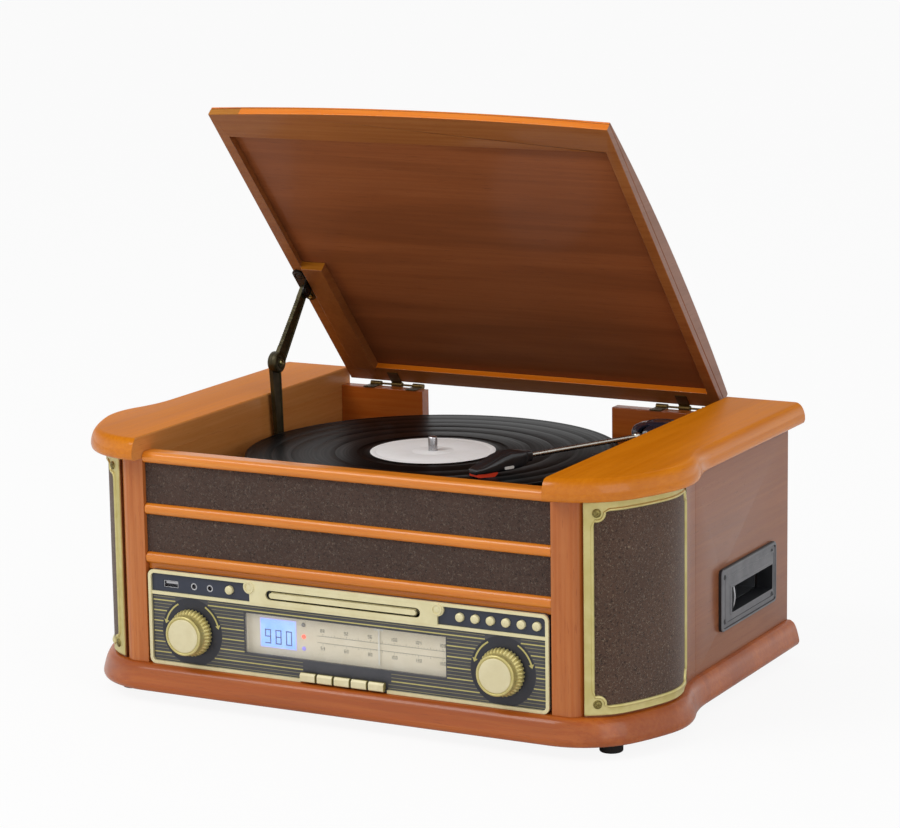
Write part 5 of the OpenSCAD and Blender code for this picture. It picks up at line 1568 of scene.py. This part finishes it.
@dataclass
class RecordDeck:
    """Record deck: plate, platter, record, motor and arm.

    Attributes:
        spindle: Place of the spindle.
        top: Height of the record's upper face.
        hole: Radius of the record's hole.
        label: Radius of its label.
        record: Radius of the record.
        tube: Height of the arm's tube.
        arm: Place of the arm's post.
        arm_turn: Turn of the resting arm in degrees.
    """

    spindle: tuple[float, float] = (-9.3, 168.4)
    top: float = 183.5
    hole: float = 3.7
    label: float = 50.5
    record: float = 151.0
    tube: float = 194.0
    arm: tuple[float, float] = (150.0, 262.0)
    arm_turn: float = -25.0

    def at_arm(self) -> Matrix:
        """Placement of the arm's own frame, in which the tube runs along minus Y."""
        return Matrix.Translation((*self.arm, 0)) @ Matrix.Rotation(radians(self.arm_turn), 4, "Z")

    def build_record(self) -> None:
        """Record, label and spindle sleeve as profiles turned about the spindle."""
        bands = [(self.label + 0.2, -0.02), (self.label + 0.8, -0.3), (60.5, -0.32), (61.0, -0.12)]
        for inner, outer in ((61.4, 78.0), (79.2, 96.5), (97.5, 113.5), (114.8, 129.0), (130.2, 145.6)):
            bands += [(inner, -0.14), (outer, -0.14), (outer + 0.3, -0.2), (outer + 0.7, -0.2)]
        rim = [(147.2, -0.1), (148.6, 0.0), (150.0, -0.06), (150.8, -0.4), (self.record, -0.9)]
        face = [(self.hole, -0.02)] + bands + rim
        under = [(r, -1.8 - h) for r, h in face[::-1][1:]]
        centre = (*self.spindle, self.top)
        vinyl = Vinyl("pressed vinyl", (self.spindle[0] * MM, (self.spindle[1] - CENTRE_Y) * MM))
        disc, paper, pin = Skin(), Skin(), Skin()
        disc.turned(face + under, centre, 2, 192, hollow=True)
        disc.made("record_skin", vinyl, "turntable", "vinyl", ("record",), 50)
        ring = self.label
        paper.turned([(self.hole + 0.1, -0.1), (self.hole + 0.1, 0.12), (16.0, 0.12), (16.4, 0.0),
                      (17.4, 0.0), (17.8, 0.12), (ring - 5.2, 0.12), (ring - 5.0, 0.04), (ring - 4.6, 0.04),
                      (ring - 4.4, 0.12), (ring - 0.2, 0.12), (ring, 0.02), (ring, -0.1)],
                     centre, 2, 128, hollow=True)
        paper.made("record_label", LABEL, "turntable", "pointer_white", (), 50)
        pin.turned([(0.01, -6.0), (3.66, -6.0), (3.66, 10.4), (3.4, 11.2), (2.6, 11.8), (1.3, 12.05),
                    (0.01, 12.1)], centre, 2, 40)
        pin.made("spindle_sleeve", SOCKET, "turntable", "socket_metal", (), 40)

    def build_turret(self) -> None:
        """Fluted bonnet over the arm's post: r(a) = r + d cos 22 a, open in front for the tube."""
        ribs, depth = 22, 0.5
        inside, ease = 19.0, 4.0        # radius at which the ribs start and the width over which they rise

        def flutes(angle: np.ndarray, radius: np.ndarray) -> np.ndarray:
            """Raises ribs round the outer part of the bonnet."""
            return radius + depth * np.cos(ribs * angle) * np.clip((radius - inside) / ease, 0, 1)

        bonnet = Skin()
        place = (0, 0, self.tube)
        bonnet.turned([(0.01, -12.0), (21.0, -12.0), (23.8, -10.4), (24.1, -5.6), (22.4, -5.4), (22.2, -9.4),
                       (0.01, -9.4)], place, 2, 176, flutes)
        bonnet.turned([(24.1, -5.6), (24.2, 0.8), (23.4, 3.6), (21.6, 5.6), (18.6, 6.9), (15.0, 7.3),
                       (13.6, 7.6), (13.6, 6.4), (17.8, 5.6), (20.6, 4.0), (22.2, 0.6), (22.4, -5.6)],
                      place, 2, 176, flutes, span=(-83, 263))
        bonnet.turned([(0.01, 6.4), (13.8, 6.4), (13.8, 7.6), (12.0, 8.6), (11.6, 8.2), (8.0, 8.9),
                       (7.6, 9.3), (0.01, 9.5)], place, 2, 96)
        bonnet.made("turret_bonnet", NAVY_BLACK, "arm_base", "deck_black", (), 36, self.at_arm())

    def build_tube(self) -> None:
        """Arm tube with its collar, hub and pivot, as turned profiles."""
        tube = Skin()
        place = (0, 0, self.tube)
        tube.turned([(0.01, -141), (2.0, -141), (2.0, -30.2), (2.9, -29.8), (3.4, -28.9), (3.4, -25.4),
                     (2.9, -24.6), (2.0, -24.3), (2.0, -3), (0.01, -3)], place, 1, 32)
        tube.turned([(0.01, -7.6), (4.4, -7.6), (4.4, 7.6), (0.01, 7.6)], place, 0, 40)
        tube.turned([(0.01, -11.3), (1.5, -11.3), (1.5, 11.3), (0.01, 11.3)], place, 0, 24)
        tube.made("tonearm_skin", ARM_METAL, "arm", "arm_metal", ("tonearm",), 40, self.at_arm())

    def build_shell(self) -> None:
        """Headshell lofted through rounded sections: x = w cos^n a, z = middle + half sin^n a.

        The width, the underside and the top are read along the arm, and lengthwise ridges stand on the top.
        """
        along = np.array([-136.0, -136.8, -142.0, -143.0, -146.0, -152.0, -161.0, -169.0, -177.0, -185.0,
                          -190.0, -192.8, -193.4])
        width = np.array([3.0, 4.2, 4.6, 5.4, 7.2, 9.2, 10.0, 10.0, 9.4, 8.0, 6.6, 5.4, 4.6])
        low = np.array([-2.6, -4.0, -4.4, -5.0, -6.4, -7.4, -7.8, -7.9, -7.9, -7.8, -7.6, -7.4, -7.0])
        high = np.array([2.6, 4.0, 4.6, 5.0, 5.5, 6.0, 6.2, 4.4, 1.6, -1.0, -2.4, -3.4, -4.0])
        y = np.linspace(along[0], along[-1], 80)
        w, a0, a1 = (np.interp(-y, -along, q)[:, None] for q in (width, low, high))
        a = np.linspace(0, 2 * pi, 96, endpoint=False)[None, :]
        power = 0.5

        def bent(wave: np.ndarray) -> np.ndarray:
            """Power of a sine or cosine that keeps its sign."""
            return np.sign(wave) * np.abs(wave) ** power

        x = w * bent(np.cos(a))
        z = (a0 + a1) / 2 + (a1 - a0) / 2 * bent(np.sin(a))
        on_top = np.clip(np.sin(a) * 3 - 1.2, 0, 1) * np.clip((-y[:, None] - 149) / 6, 0, 1)
        z = z + on_top * np.clip((191 + y[:, None]) / 5, 0, 1) * 0.45 * np.cos(2 * pi * x / 4.2)
        shell, dash = Skin(), Skin()
        shell.grid(np.stack([x, np.broadcast_to(y[:, None], x.shape), z + self.tube], -1))
        lift = rounded_rect(5.0, 9.0, 2.0, (-11.2, -162.0))
        shell.bar(lift, self.tube - 1.2, self.tube + 0.2, axis=2)
        shell.made("headshell_skin", SHELL_BLACK, "arm", "deck_black", ("headshell",), 50, self.at_arm())
        # Silver mark on the shell's side, coloured white: partly a real mark, partly its painted highlight.
        dash.bar(rounded_rect(9.0, 2.2, 1.0, (-165.0, self.tube - 4.4)), 9.0, 10.35, axis=0)
        dash.made("headshell_dash_painted_highlight", WHITE, "arm", "socket_metal", (), 40, self.at_arm())
        tip = Skin()
        rows = [(-192.3, 5.0, -9.0), (-191.4, 5.6, -9.7), (-178.0, 8.6, -10.0), (-175.2, 9.0, -7.4)]
        block = np.array([[(-w, q, z), (w, q, z), (w, q, -6.6), (-w, q, -6.6)] for q, w, z in rows])
        tip.grid(block + [0, 0, self.tube])
        tip.turned([(0.01, -9.9), (0.35, -9.9), (1.1, -8.6), (0.01, -8.6)], (0, -190, self.tube), 2, 20)
        tip.made("cartridge_skin", RED, "arm", "tip_red", ("cartridge",), 34, self.at_arm())

    def build(self) -> None:
        """Builds the record and the arm and dresses the deck's solids."""
        self.build_record()
        self.build_turret()
        self.build_tube()
        self.build_shell()
        dressed("deck_plate", DECK_BLACK, 0.5)
        dressed("platter", PLATTER_METAL, 0.5)
        dressed("platter_mat", RUBBER, 0.3)
        kept("drive_motor", STEEL)
        kept("motor_pulley", BRASS)
        kept("drive_belt", RUBBER)
        dressed("tonearm_turret", DECK_BLACK, 0.4)
        dressed("speed_switch", DECK_BLACK, 0.4)


@dataclass
class Lid:
    """Domed lid with its frame, hinges and stay.

    Attributes:
        angle: Angle at which the lid stands open in degrees.
        hinge: Depth and height of the hinge line.
        rail: Inner edge of the side rails.
        block: Outer and inner edge of the stay block.
        wall_pivot: Depth and height of the stay's lower pivot.
        knuckle: Depth and height of its knuckle.
        lid_pivot: Depth and height of its upper pivot.
        stay: Distance of the upper pivot from the hinge line.
        longer: Length that the stay block gains towards the front.
    """

    angle: float = 48.4
    hinge: tuple[float, float] = (330.0, 200.75)
    rail: float = 165.3
    block: tuple[float, float] = (-163.0, -147.3)
    wall_pivot: tuple[float, float] = (200.0, 169.0)
    knuckle: tuple[float, float] = (195.005, 240.025)
    lid_pivot: tuple[float, float] = (239.016, 293.814)
    stay: float = 130.0
    longer: float = 12.0

    def __post_init__(self) -> None:
        """Works out the lid's own directions: square to it and towards its front edge."""
        t = radians(self.angle)
        self.up = np.array([0, sin(t), cos(t)])
        self.front = np.array([0, -cos(t), sin(t)])

    def on_lid(self) -> Matrix:
        """Placement of the lid's frame: Y from the hinge line to the front, Z square to the lid.

        Returns:
            Matrix from the lid's frame to the construction frame.
        """
        rows = [(1, 0, 0, 0)]
        rows += [(0, self.front[k], self.up[k], self.hinge[k - 1]) for k in (1, 2)]
        return Matrix(rows + [(0, 0, 0, 1)])

    def build_boards(self) -> None:
        """Dresses the lid's board and frame, with slimmer side rails, and paints light and shade on them face
        by face.
        """
        board = dressed("lid_panel", LID_INSIDE_WITH_PAINTED_SHADE, 1.2)

        def board_faces(_c: np.ndarray, n: np.ndarray) -> np.ndarray:
            """Numbers the board's faces for their painted light and shade: top 1, front edge 2, other edges
            3, underside 0.

            Args:
                _c: Centres of the faces, which don't count here.
                n: Their normals.

            Returns:
                Number of each face's finish.
            """
            numbers = np.where(np.abs(n[:, 0]) > FACING, 3, 0)
            numbers = np.where(n @ self.front < -0.5, 3, numbers)
            numbers = np.where(n @ self.front > 0.5, 2, numbers)
            return np.where(n @ self.up > 0.3, 1, numbers)

        # The board's one wood gets painted light on the front edge, a painted reflection on the other edges
        # and painted shade on the underside.
        shared_out(board, [LID_OUTSIDE, LID_FRONT_PAINTED_LIGHT, LID_EDGE_PAINTED_REFLECTION], board_faces)

        def slimmer(points: np.ndarray) -> np.ndarray:
            """Moves the inner faces of the side rails and the sides and the front end of the stay block.

            Args:
                points: Points of the solid in millimetres of the shared frame.

            Returns:
                The moved points.
            """
            rail, block, block_end = 158.3, (-159.3, -144.3), 140.0         # the solid's own places
            x = points[:, 0]
            for old, new in ((-rail, -self.rail), (rail, self.rail), *zip(block, self.block)):
                x = np.where(np.abs(points[:, 0] - old) < 0.06, new, x)
            out = (points + [0, CENTRE_Y - self.hinge[0], -self.hinge[1]]) @ self.front
            far = (np.abs(out - block_end) < 0.1) & (points[:, 0] < -140)
            return np.column_stack([x, points[:, 1:]]) + np.where(far, self.longer, 0.0)[:, None] * self.front

        rails = dressed("lid_frame", LID_EDGE_PAINTED_REFLECTION, 0.9, reshape=slimmer)

        def rail_faces(c: np.ndarray, n: np.ndarray) -> np.ndarray:
            """Numbers the frame's faces for their painted light and shade: rails 1, those that look ahead 2,
            side rails 3, the block's end 4.

            Args:
                c: Centres of the faces in millimetres.
                n: Their normals.

            Returns:
                Number of each face's finish; the outer sides keep nought.
            """
            outer_face, side_rail = 172.0, 140.0        # distances from the lid's middle at which each starts
            away = np.abs(c[:, 0])
            numbers = np.where((np.abs(n[:, 0]) > FACING) & (away < outer_face), 3, 0)
            numbers = np.where(n @ self.up < -0.5, np.where(away > side_rail, 3, 1), numbers)
            numbers = np.where(n @ self.front < -FACING, 1, numbers)
            ahead = n @ self.front > FACING
            numbers = np.where(ahead, 2, numbers)
            return np.where(ahead & (c[:, 0] < self.block[1] + 1) & (c[:, 0] > self.block[0] - 1), 4, numbers)

        # The frame's one wood gets painted shade on the rails and side rails, painted light on faces that
        # look ahead and on the block's end, and a painted reflection on the outer sides.
        shared_out(rails, [LID_RAIL_PAINTED_SHADE, LID_FRONT_PAINTED_LIGHT, LID_SIDE_RAIL_PAINTED_SHADE, LID_BLOCK_END_PAINTED_LIGHT], rail_faces)

    def bar_outline(self, ends: Sequence[Point], halves: Point, inset: float, teeth: float) -> np.ndarray:
        """Outline of a flat bar: its half width runs evenly from one round end to the other.

        Args:
            ends: Depth and height of the two ends.
            halves: Half widths at the two ends.
            inset: Distance by which the outline is drawn in.
            teeth: Depth of the teeth along one edge, v = h - d |saw(s / 2)|.

        Returns:
            Pairs of depth and height.
        """
        p, q = (np.asarray(e, float) for e in ends)
        length = np.linalg.norm(q - p)
        u = (q - p) / length
        n = np.array([-u[1], u[0]])
        s = np.linspace(0, length, 121)
        half = np.interp(s, [0, length], halves) - inset
        inside = (s > 12) & (s < length - 10)
        cut = teeth * np.abs((s / 2.2) % 1 - 0.5) * 2 * inside
        a = np.radians(np.linspace(88, -88, 15))
        far = np.column_stack([length + half[-1] * np.cos(a), half[-1] * np.sin(a)])
        near = np.column_stack([-half[0] * np.cos(a[::-1]), half[0] * np.sin(a[::-1])])[::-1] * [1, -1]
        upper, lower = np.column_stack([s, half - cut]), np.column_stack([s[::-1], -half[::-1]])
        ring = np.concatenate([upper, far, lower, near])
        return p + ring[:, :1] * u + ring[:, 1:] * n

    def build_bar(self, name: str, body: str, ends: Sequence[Point], halves: Point, x: Point, teeth: float,
                  boss: Sequence[Point]) -> None:
        """Pressed bar with a raised rim, and its half of the knuckle's boss.

        Args:
            name: Node that it stands in for.
            body: Body that it moves with.
            ends: Depth and height of the two ends.
            halves: Half widths at the two ends.
            x: Back and front face of the bar.
            teeth: Depth of the teeth along one edge.
            boss: Radius and place across of the boss's profile, turned about the knuckle.
        """
        skin = Skin()
        outer, inner = (self.bar_outline(ends, halves, d, t) for d, t in ((0.0, teeth), (1.5, 0.0)))
        lip = self.bar_outline(ends, halves, 1.1, 0.0)
        rows = [(outer, x[0]), (outer, x[1]), (lip, x[1]), (inner, x[1] - 0.7)]
        skin.grid(np.stack([np.column_stack([np.full(len(q), h), q]) for q, h in rows]))
        skin.turned(boss, (0, *self.knuckle), 0, 48)
        skin.made(name + "_skin", BRONZE, body, "stay_bronze", (name,), 34)

    def build_stay(self) -> None:
        """Two bars that meet at a domed knuckle, and the brackets at their ends."""
        back_boss = [(0.01, -174.3), (3.2, -174.2), (7.2, -173.5), (8.6, -172.4), (9.0, -171.2),
                     (9.0, -169.0), (0.01, -169.0)]
        front_boss = [(0.01, -168.8), (9.0, -168.8), (9.0, -166.4), (8.4, -165.2), (7.4, -164.7),
                      (5.6, -164.6), (5.3, -165.1), (4.4, -165.1), (4.1, -164.4), (0.01, -164.2)]
        self.build_bar("stay_lower_arm", "stay_lower", (self.wall_pivot, self.knuckle), (5.0, 7.0),
                       (-172.6, -169.2), 0.0, back_boss)
        self.build_bar("stay_upper_arm", "stay_upper", (self.knuckle, self.lid_pivot), (7.0, 4.6),
                       (-168.8, -165.4), 0.7, front_boss)
        rivet = Skin()
        rivet.turned([(0.01, -165.0), (2.7, -165.0), (2.7, -163.9), (2.2, -163.3), (1.2, -163.05),
                      (0.01, -163.0)], (0, *self.knuckle), 0, 32)
        rivet.made("knuckle_rivet", RIVET, "stay_upper", "stay_bronze", (), 40)
        plate, screws = Skin(), Skin()
        middle = self.stay
        plate.bar(rounded_rect(10.6, 38.0, 5.2, (-170.0, middle - 1.0)), -0.2, 1.2, axis=2)
        flap = np.array([(y, h) for y, h in rounded_rect(12.0, 13.6, 5.0, (middle, -5.4))])
        plate.bar(flap, -165.2, -163.9, axis=0)
        plate.turned([(0.01, 1.0), (5.0, 1.0), (5.0, -0.6), (4.4, -1.2), (3.8, -1.2), (3.6, -0.7),
                      (2.8, -0.7), (2.4, -1.4), (0.01, -1.6)], (-169.2, middle + 12.0, 0), 2, 40)
        plate.turned([(0.01, -168.9), (4.2, -168.9), (4.4, -164.2), (4.0, -163.2), (2.6, -162.7),
                      (0.01, -162.5)], (0, middle, -6.25), 0, 36)
        plate.made("stay_lid_bracket_skin", BLACK_METAL, "lid", "stay_bronze", ("stay_lid_bracket",), 36,
                   self.on_lid())
        screws.turned([(0.01, 0.4), (2.9, 0.4), (2.9, -0.9), (2.4, -1.3), (1.8, -1.3), (1.6, -0.8),
                       (0.9, -0.8), (0.6, -1.2), (0.01, -1.3)], (-169.6, middle - 14.0, 0), 2, 32)
        screws.made("bracket_screw", RIVET, "lid", "screw_brass", (), 36, self.on_lid())
        dressed("stay_wall_bracket", BRONZE, 0.3)

    def build(self) -> None:
        """Builds the stay and dresses the lid's solids."""
        self.build_boards()
        self.build_stay()
        dressed("hinge_lid_leaves", BRASS, 0)
        dressed("hinge_case_leaves", BRASS, 0)


@dataclass
class CassetteBay:
    """Cassette slot on the right wall.

    Attributes:
        middle: Depth and height of the plate's middle.
        size: Length and height of the plate.
        mouth: Depth and height of the mouth's middle.
        mouth_size: Length and height of the mouth.
        wall: Distance of the wall from the middle of the case.
    """

    middle: tuple[float, float] = (243.0, 79.6)
    size: tuple[float, float] = (113.0, 50.0)
    mouth: tuple[float, float] = (249.5, 76.6)
    mouth_size: tuple[float, float] = (84.0, 20.4)
    wall: float = 231.0

    def build_plate(self) -> None:
        """Stepped plate: rings shared evenly between the plate's outline and the mouth's.

        Row k lies at the share t of the way inwards and at its own distance from the wall.
        """
        outer = np.asarray(rounded_rect(*self.size, 4.0, self.middle), float)
        inner = np.asarray(rounded_rect(*self.mouth_size, 0.8, self.mouth), float)
        steps = [(0, 0.05), (0, 2.4), (0.03, 2.95), (0.15, 2.95), (0.19, 2.0), (0.4, 2.0), (0.43, 2.5),
                 (0.49, 2.5), (0.52, 2.0), (0.86, 2.0), (0.9, 2.7), (1, 2.7), (1, -11.0), (0.92, -11.0),
                 (0.92, 0.05)]
        rows = []
        for share, out in steps:
            ring = outer + (inner - outer) * share
            rows.append(np.column_stack([np.full(len(ring), self.wall + out), ring]))
        plate, marks, metal = Skin(), Skin(), Skin()
        plate.grid(np.stack(rows), round_u=True)
        piece = plate.made("cassette_bezel_skin", PLATE_GREY, "cabinet", "deck_black",
                           ("cassette_bezel",), 30)
        edge = self.middle[0] - self.size[0] / 2

        def dark_faces(c: np.ndarray, n: np.ndarray) -> np.ndarray:
            """Numbers the edges that are dark one: the front end's, the level ones and those in the wall.

            Args:
                c: Centres of the faces in millimetres.
                n: Their normals.

            Returns:
                Number of each face's finish.
            """
            side = (n[:, 0] < FACING) & ((c[:, 1] + CENTRE_Y < edge + 1.5) | (np.abs(n[:, 2]) > 0.5))
            return np.where(side | (c[:, 0] < self.wall - 0.5), 1, 0)

        shared_out(piece, [DARK_PLASTIC], dark_faces)
        screw_y, screw_z = 48.5, 17.8           # distances of the screws from the plate's middle
        for u in (-screw_y, screw_y):
            for v in (-screw_z, screw_z):
                marks.turned([(0.01, 1.9), (2.1, 1.9), (2.1, 2.15), (1.5, 2.3), (1.2, 2.1), (0.01, 2.1)],
                             (self.wall, self.middle[0] + u, self.middle[1] + v), 0, 24)
        marks.made("bezel_screws", DARK_PLASTIC, "cabinet", "deck_black", (), 40)
        high = self.mouth[1] + self.mouth_size[1] / 2
        guide = [(219.6, high - 0.1), (246.0, high - 0.1), (244.0, high - 0.8), (232.0, high - 1.4),
                 (219.6, high - 1.5)]
        metal.bar(guide, self.wall - 9, self.wall - 0.6, axis=0)
        t = np.linspace(0, 1, 16)
        spring = np.column_stack([self.wall - 1.2 + 1.4 * np.sin(pi * t), np.full(16, 218.25),
                                  high - 1.2 - 17.4 * t])
        metal.tube(spring, 0.85, 12)
        metal.made("tape_guide", SOCKET, "cabinet", "socket_metal", (), 36)

    def build(self) -> None:
        """Builds the plate and dresses the slot's solids."""
        self.build_plate()
        kept("cassette_deck", STEEL)
        dressed("eject_lever", DARK_PLASTIC, 0.3)


# ---------------------------------------------------------------- studio


@dataclass
class Studio:
    """Pale floor, soft lights and the camera.

    Attributes:
        eye: Camera's place in metres.
        azimuth: Angle of the view round the object in degrees.
        elevation: Height of the view in degrees.
        roll: Turn about the view's own axis in degrees.
        lens: Focal length in millimetres.
        white: Share of plain white in the floor that the camera sees.
    """

    eye: tuple[float, float, float] = (1.1773, -2.21759, 0.7057)
    azimuth: float = 27.772
    elevation: float = 11.061
    roll: float = -0.855
    lens: float = 128.34
    white: float = 0.9

    def floor(self) -> None:
        """Lays a pale floor that shows as white and keeps the object's shadow."""
        size = 22.0
        points = [(-size, -size, 0), (size, -size, 0), (size, size, 0), (-size, size, 0)]
        mesh = bpy.data.meshes.new("floor")
        mesh.from_pydata(points, [], [(0, 1, 2, 3)])
        shader = Shader("pale floor")
        shade = shader.noise(shader.place(), 3, 2, 0.5)
        shader.set(Base_Color=shader.mix(rgb("#F6F6F6"), rgb("#F2F2F2"), shade), Roughness=0.9,
                   Specular_IOR_Level=0.0)
        tree = shader.tree
        path = shader.node("ShaderNodeLightPath")
        shine = shader.node("ShaderNodeEmission", None, {"Color": (1, 1, 1, 1), "Strength": 1.0})
        seen = Value(shader, path.outputs["Is Camera Ray"]) * self.white
        both = shader.node("ShaderNodeMixShader", None, {
            0: seen, 1: shader.surface.outputs[0], 2: shine.outputs[0]})
        tree.links.new(both.outputs[0], tree.nodes["Material Output"].inputs[0])
        mesh.materials.append(shader.material)
        floor = bpy.data.objects.new("floor", mesh)
        bpy.context.scene.collection.objects.link(floor)

    def world(self, strength: float = 0.62) -> None:
        """Even light from all round, shown as white to the camera, to glossy and to clear surfaces.

        Args:
            strength: Strength of the light that falls on the object.
        """
        world = bpy.data.worlds.new("studio")
        bpy.context.scene.world = world
        world.use_nodes = True
        tree = world.node_tree
        tree.nodes.clear()
        path = new_node(tree, "ShaderNodeLightPath")
        seen = path.outputs["Is Camera Ray"]
        for name in ("Is Glossy Ray", "Is Transmission Ray"):
            either = new_node(tree, "ShaderNodeMath", {"operation": "MAXIMUM"},
                              {0: seen, 1: path.outputs[name]})
            seen = either.outputs[0]
        soft, white = (new_node(tree, "ShaderNodeBackground", None,
                                {"Color": (1, 1, 1, 1), "Strength": level}) for level in (strength, 1.0))
        mix = new_node(tree, "ShaderNodeMixShader", None, {0: seen, 1: soft.outputs[0], 2: white.outputs[0]})
        new_node(tree, "ShaderNodeOutputWorld", None, {"Surface": mix.outputs[0]})

    def lamp(self, name: str, place: Point, size: float, power: float) -> None:
        """Square soft light that looks at the object.

        Args:
            name: Name of the light.
            place: Its place in metres.
            size: Its side in metres.
            power: Its power in watts.
        """
        data = bpy.data.lights.new(name, "AREA")
        data.size, data.energy = size, power
        lamp = bpy.data.objects.new(name, data)
        lamp.location = place
        lamp.rotation_euler = (Vector((0, 0, 0.12)) - Vector(place)).to_track_quat("-Z", "Y").to_euler()
        bpy.context.scene.collection.objects.link(lamp)

    def camera(self) -> None:
        """Sets the camera at the picture's viewing angle."""
        a, e, roll = radians(self.azimuth), radians(self.elevation), radians(self.roll)
        back = Vector((sin(a) * cos(e), -cos(a) * cos(e), sin(e)))
        right = (-back).cross(Vector((0, 0, 1))).normalized()
        up = right.cross(-back)
        x = right * cos(roll) + up * sin(roll)
        y = up * cos(roll) - right * sin(roll)
        data = bpy.data.cameras.new("camera")
        data.lens, data.sensor_width = self.lens, 36.0
        camera = bpy.data.objects.new("camera", data)
        rows = [(x[i], y[i], back[i], self.eye[i]) for i in range(3)] + [(0, 0, 0, 1)]
        camera.matrix_world = Matrix(rows)
        bpy.context.scene.collection.objects.link(camera)
        bpy.context.scene.camera = camera

    def build(self) -> None:
        """Sets the studio up."""
        bpy.context.scene.view_settings.view_transform = "Standard"
        self.floor()
        self.world()
        self.lamp("key", (-1.1, -1.6, 2.2), 1.2, 26)
        self.lamp("fill", (2.2, -1.0, 1.2), 1.6, 9)
        self.camera()


def main() -> None:
    """Builds the music centre and its studio."""
    logging.basicConfig(level=logging.INFO, format="%(message)s")
    for part in (Cabinet(), RadioPanel(), RecordDeck(), Lid(), CassetteBay(), Studio()):
        log.info("building %s", type(part).__name__)
        part.build()


if __name__ == "__main__":
    main()
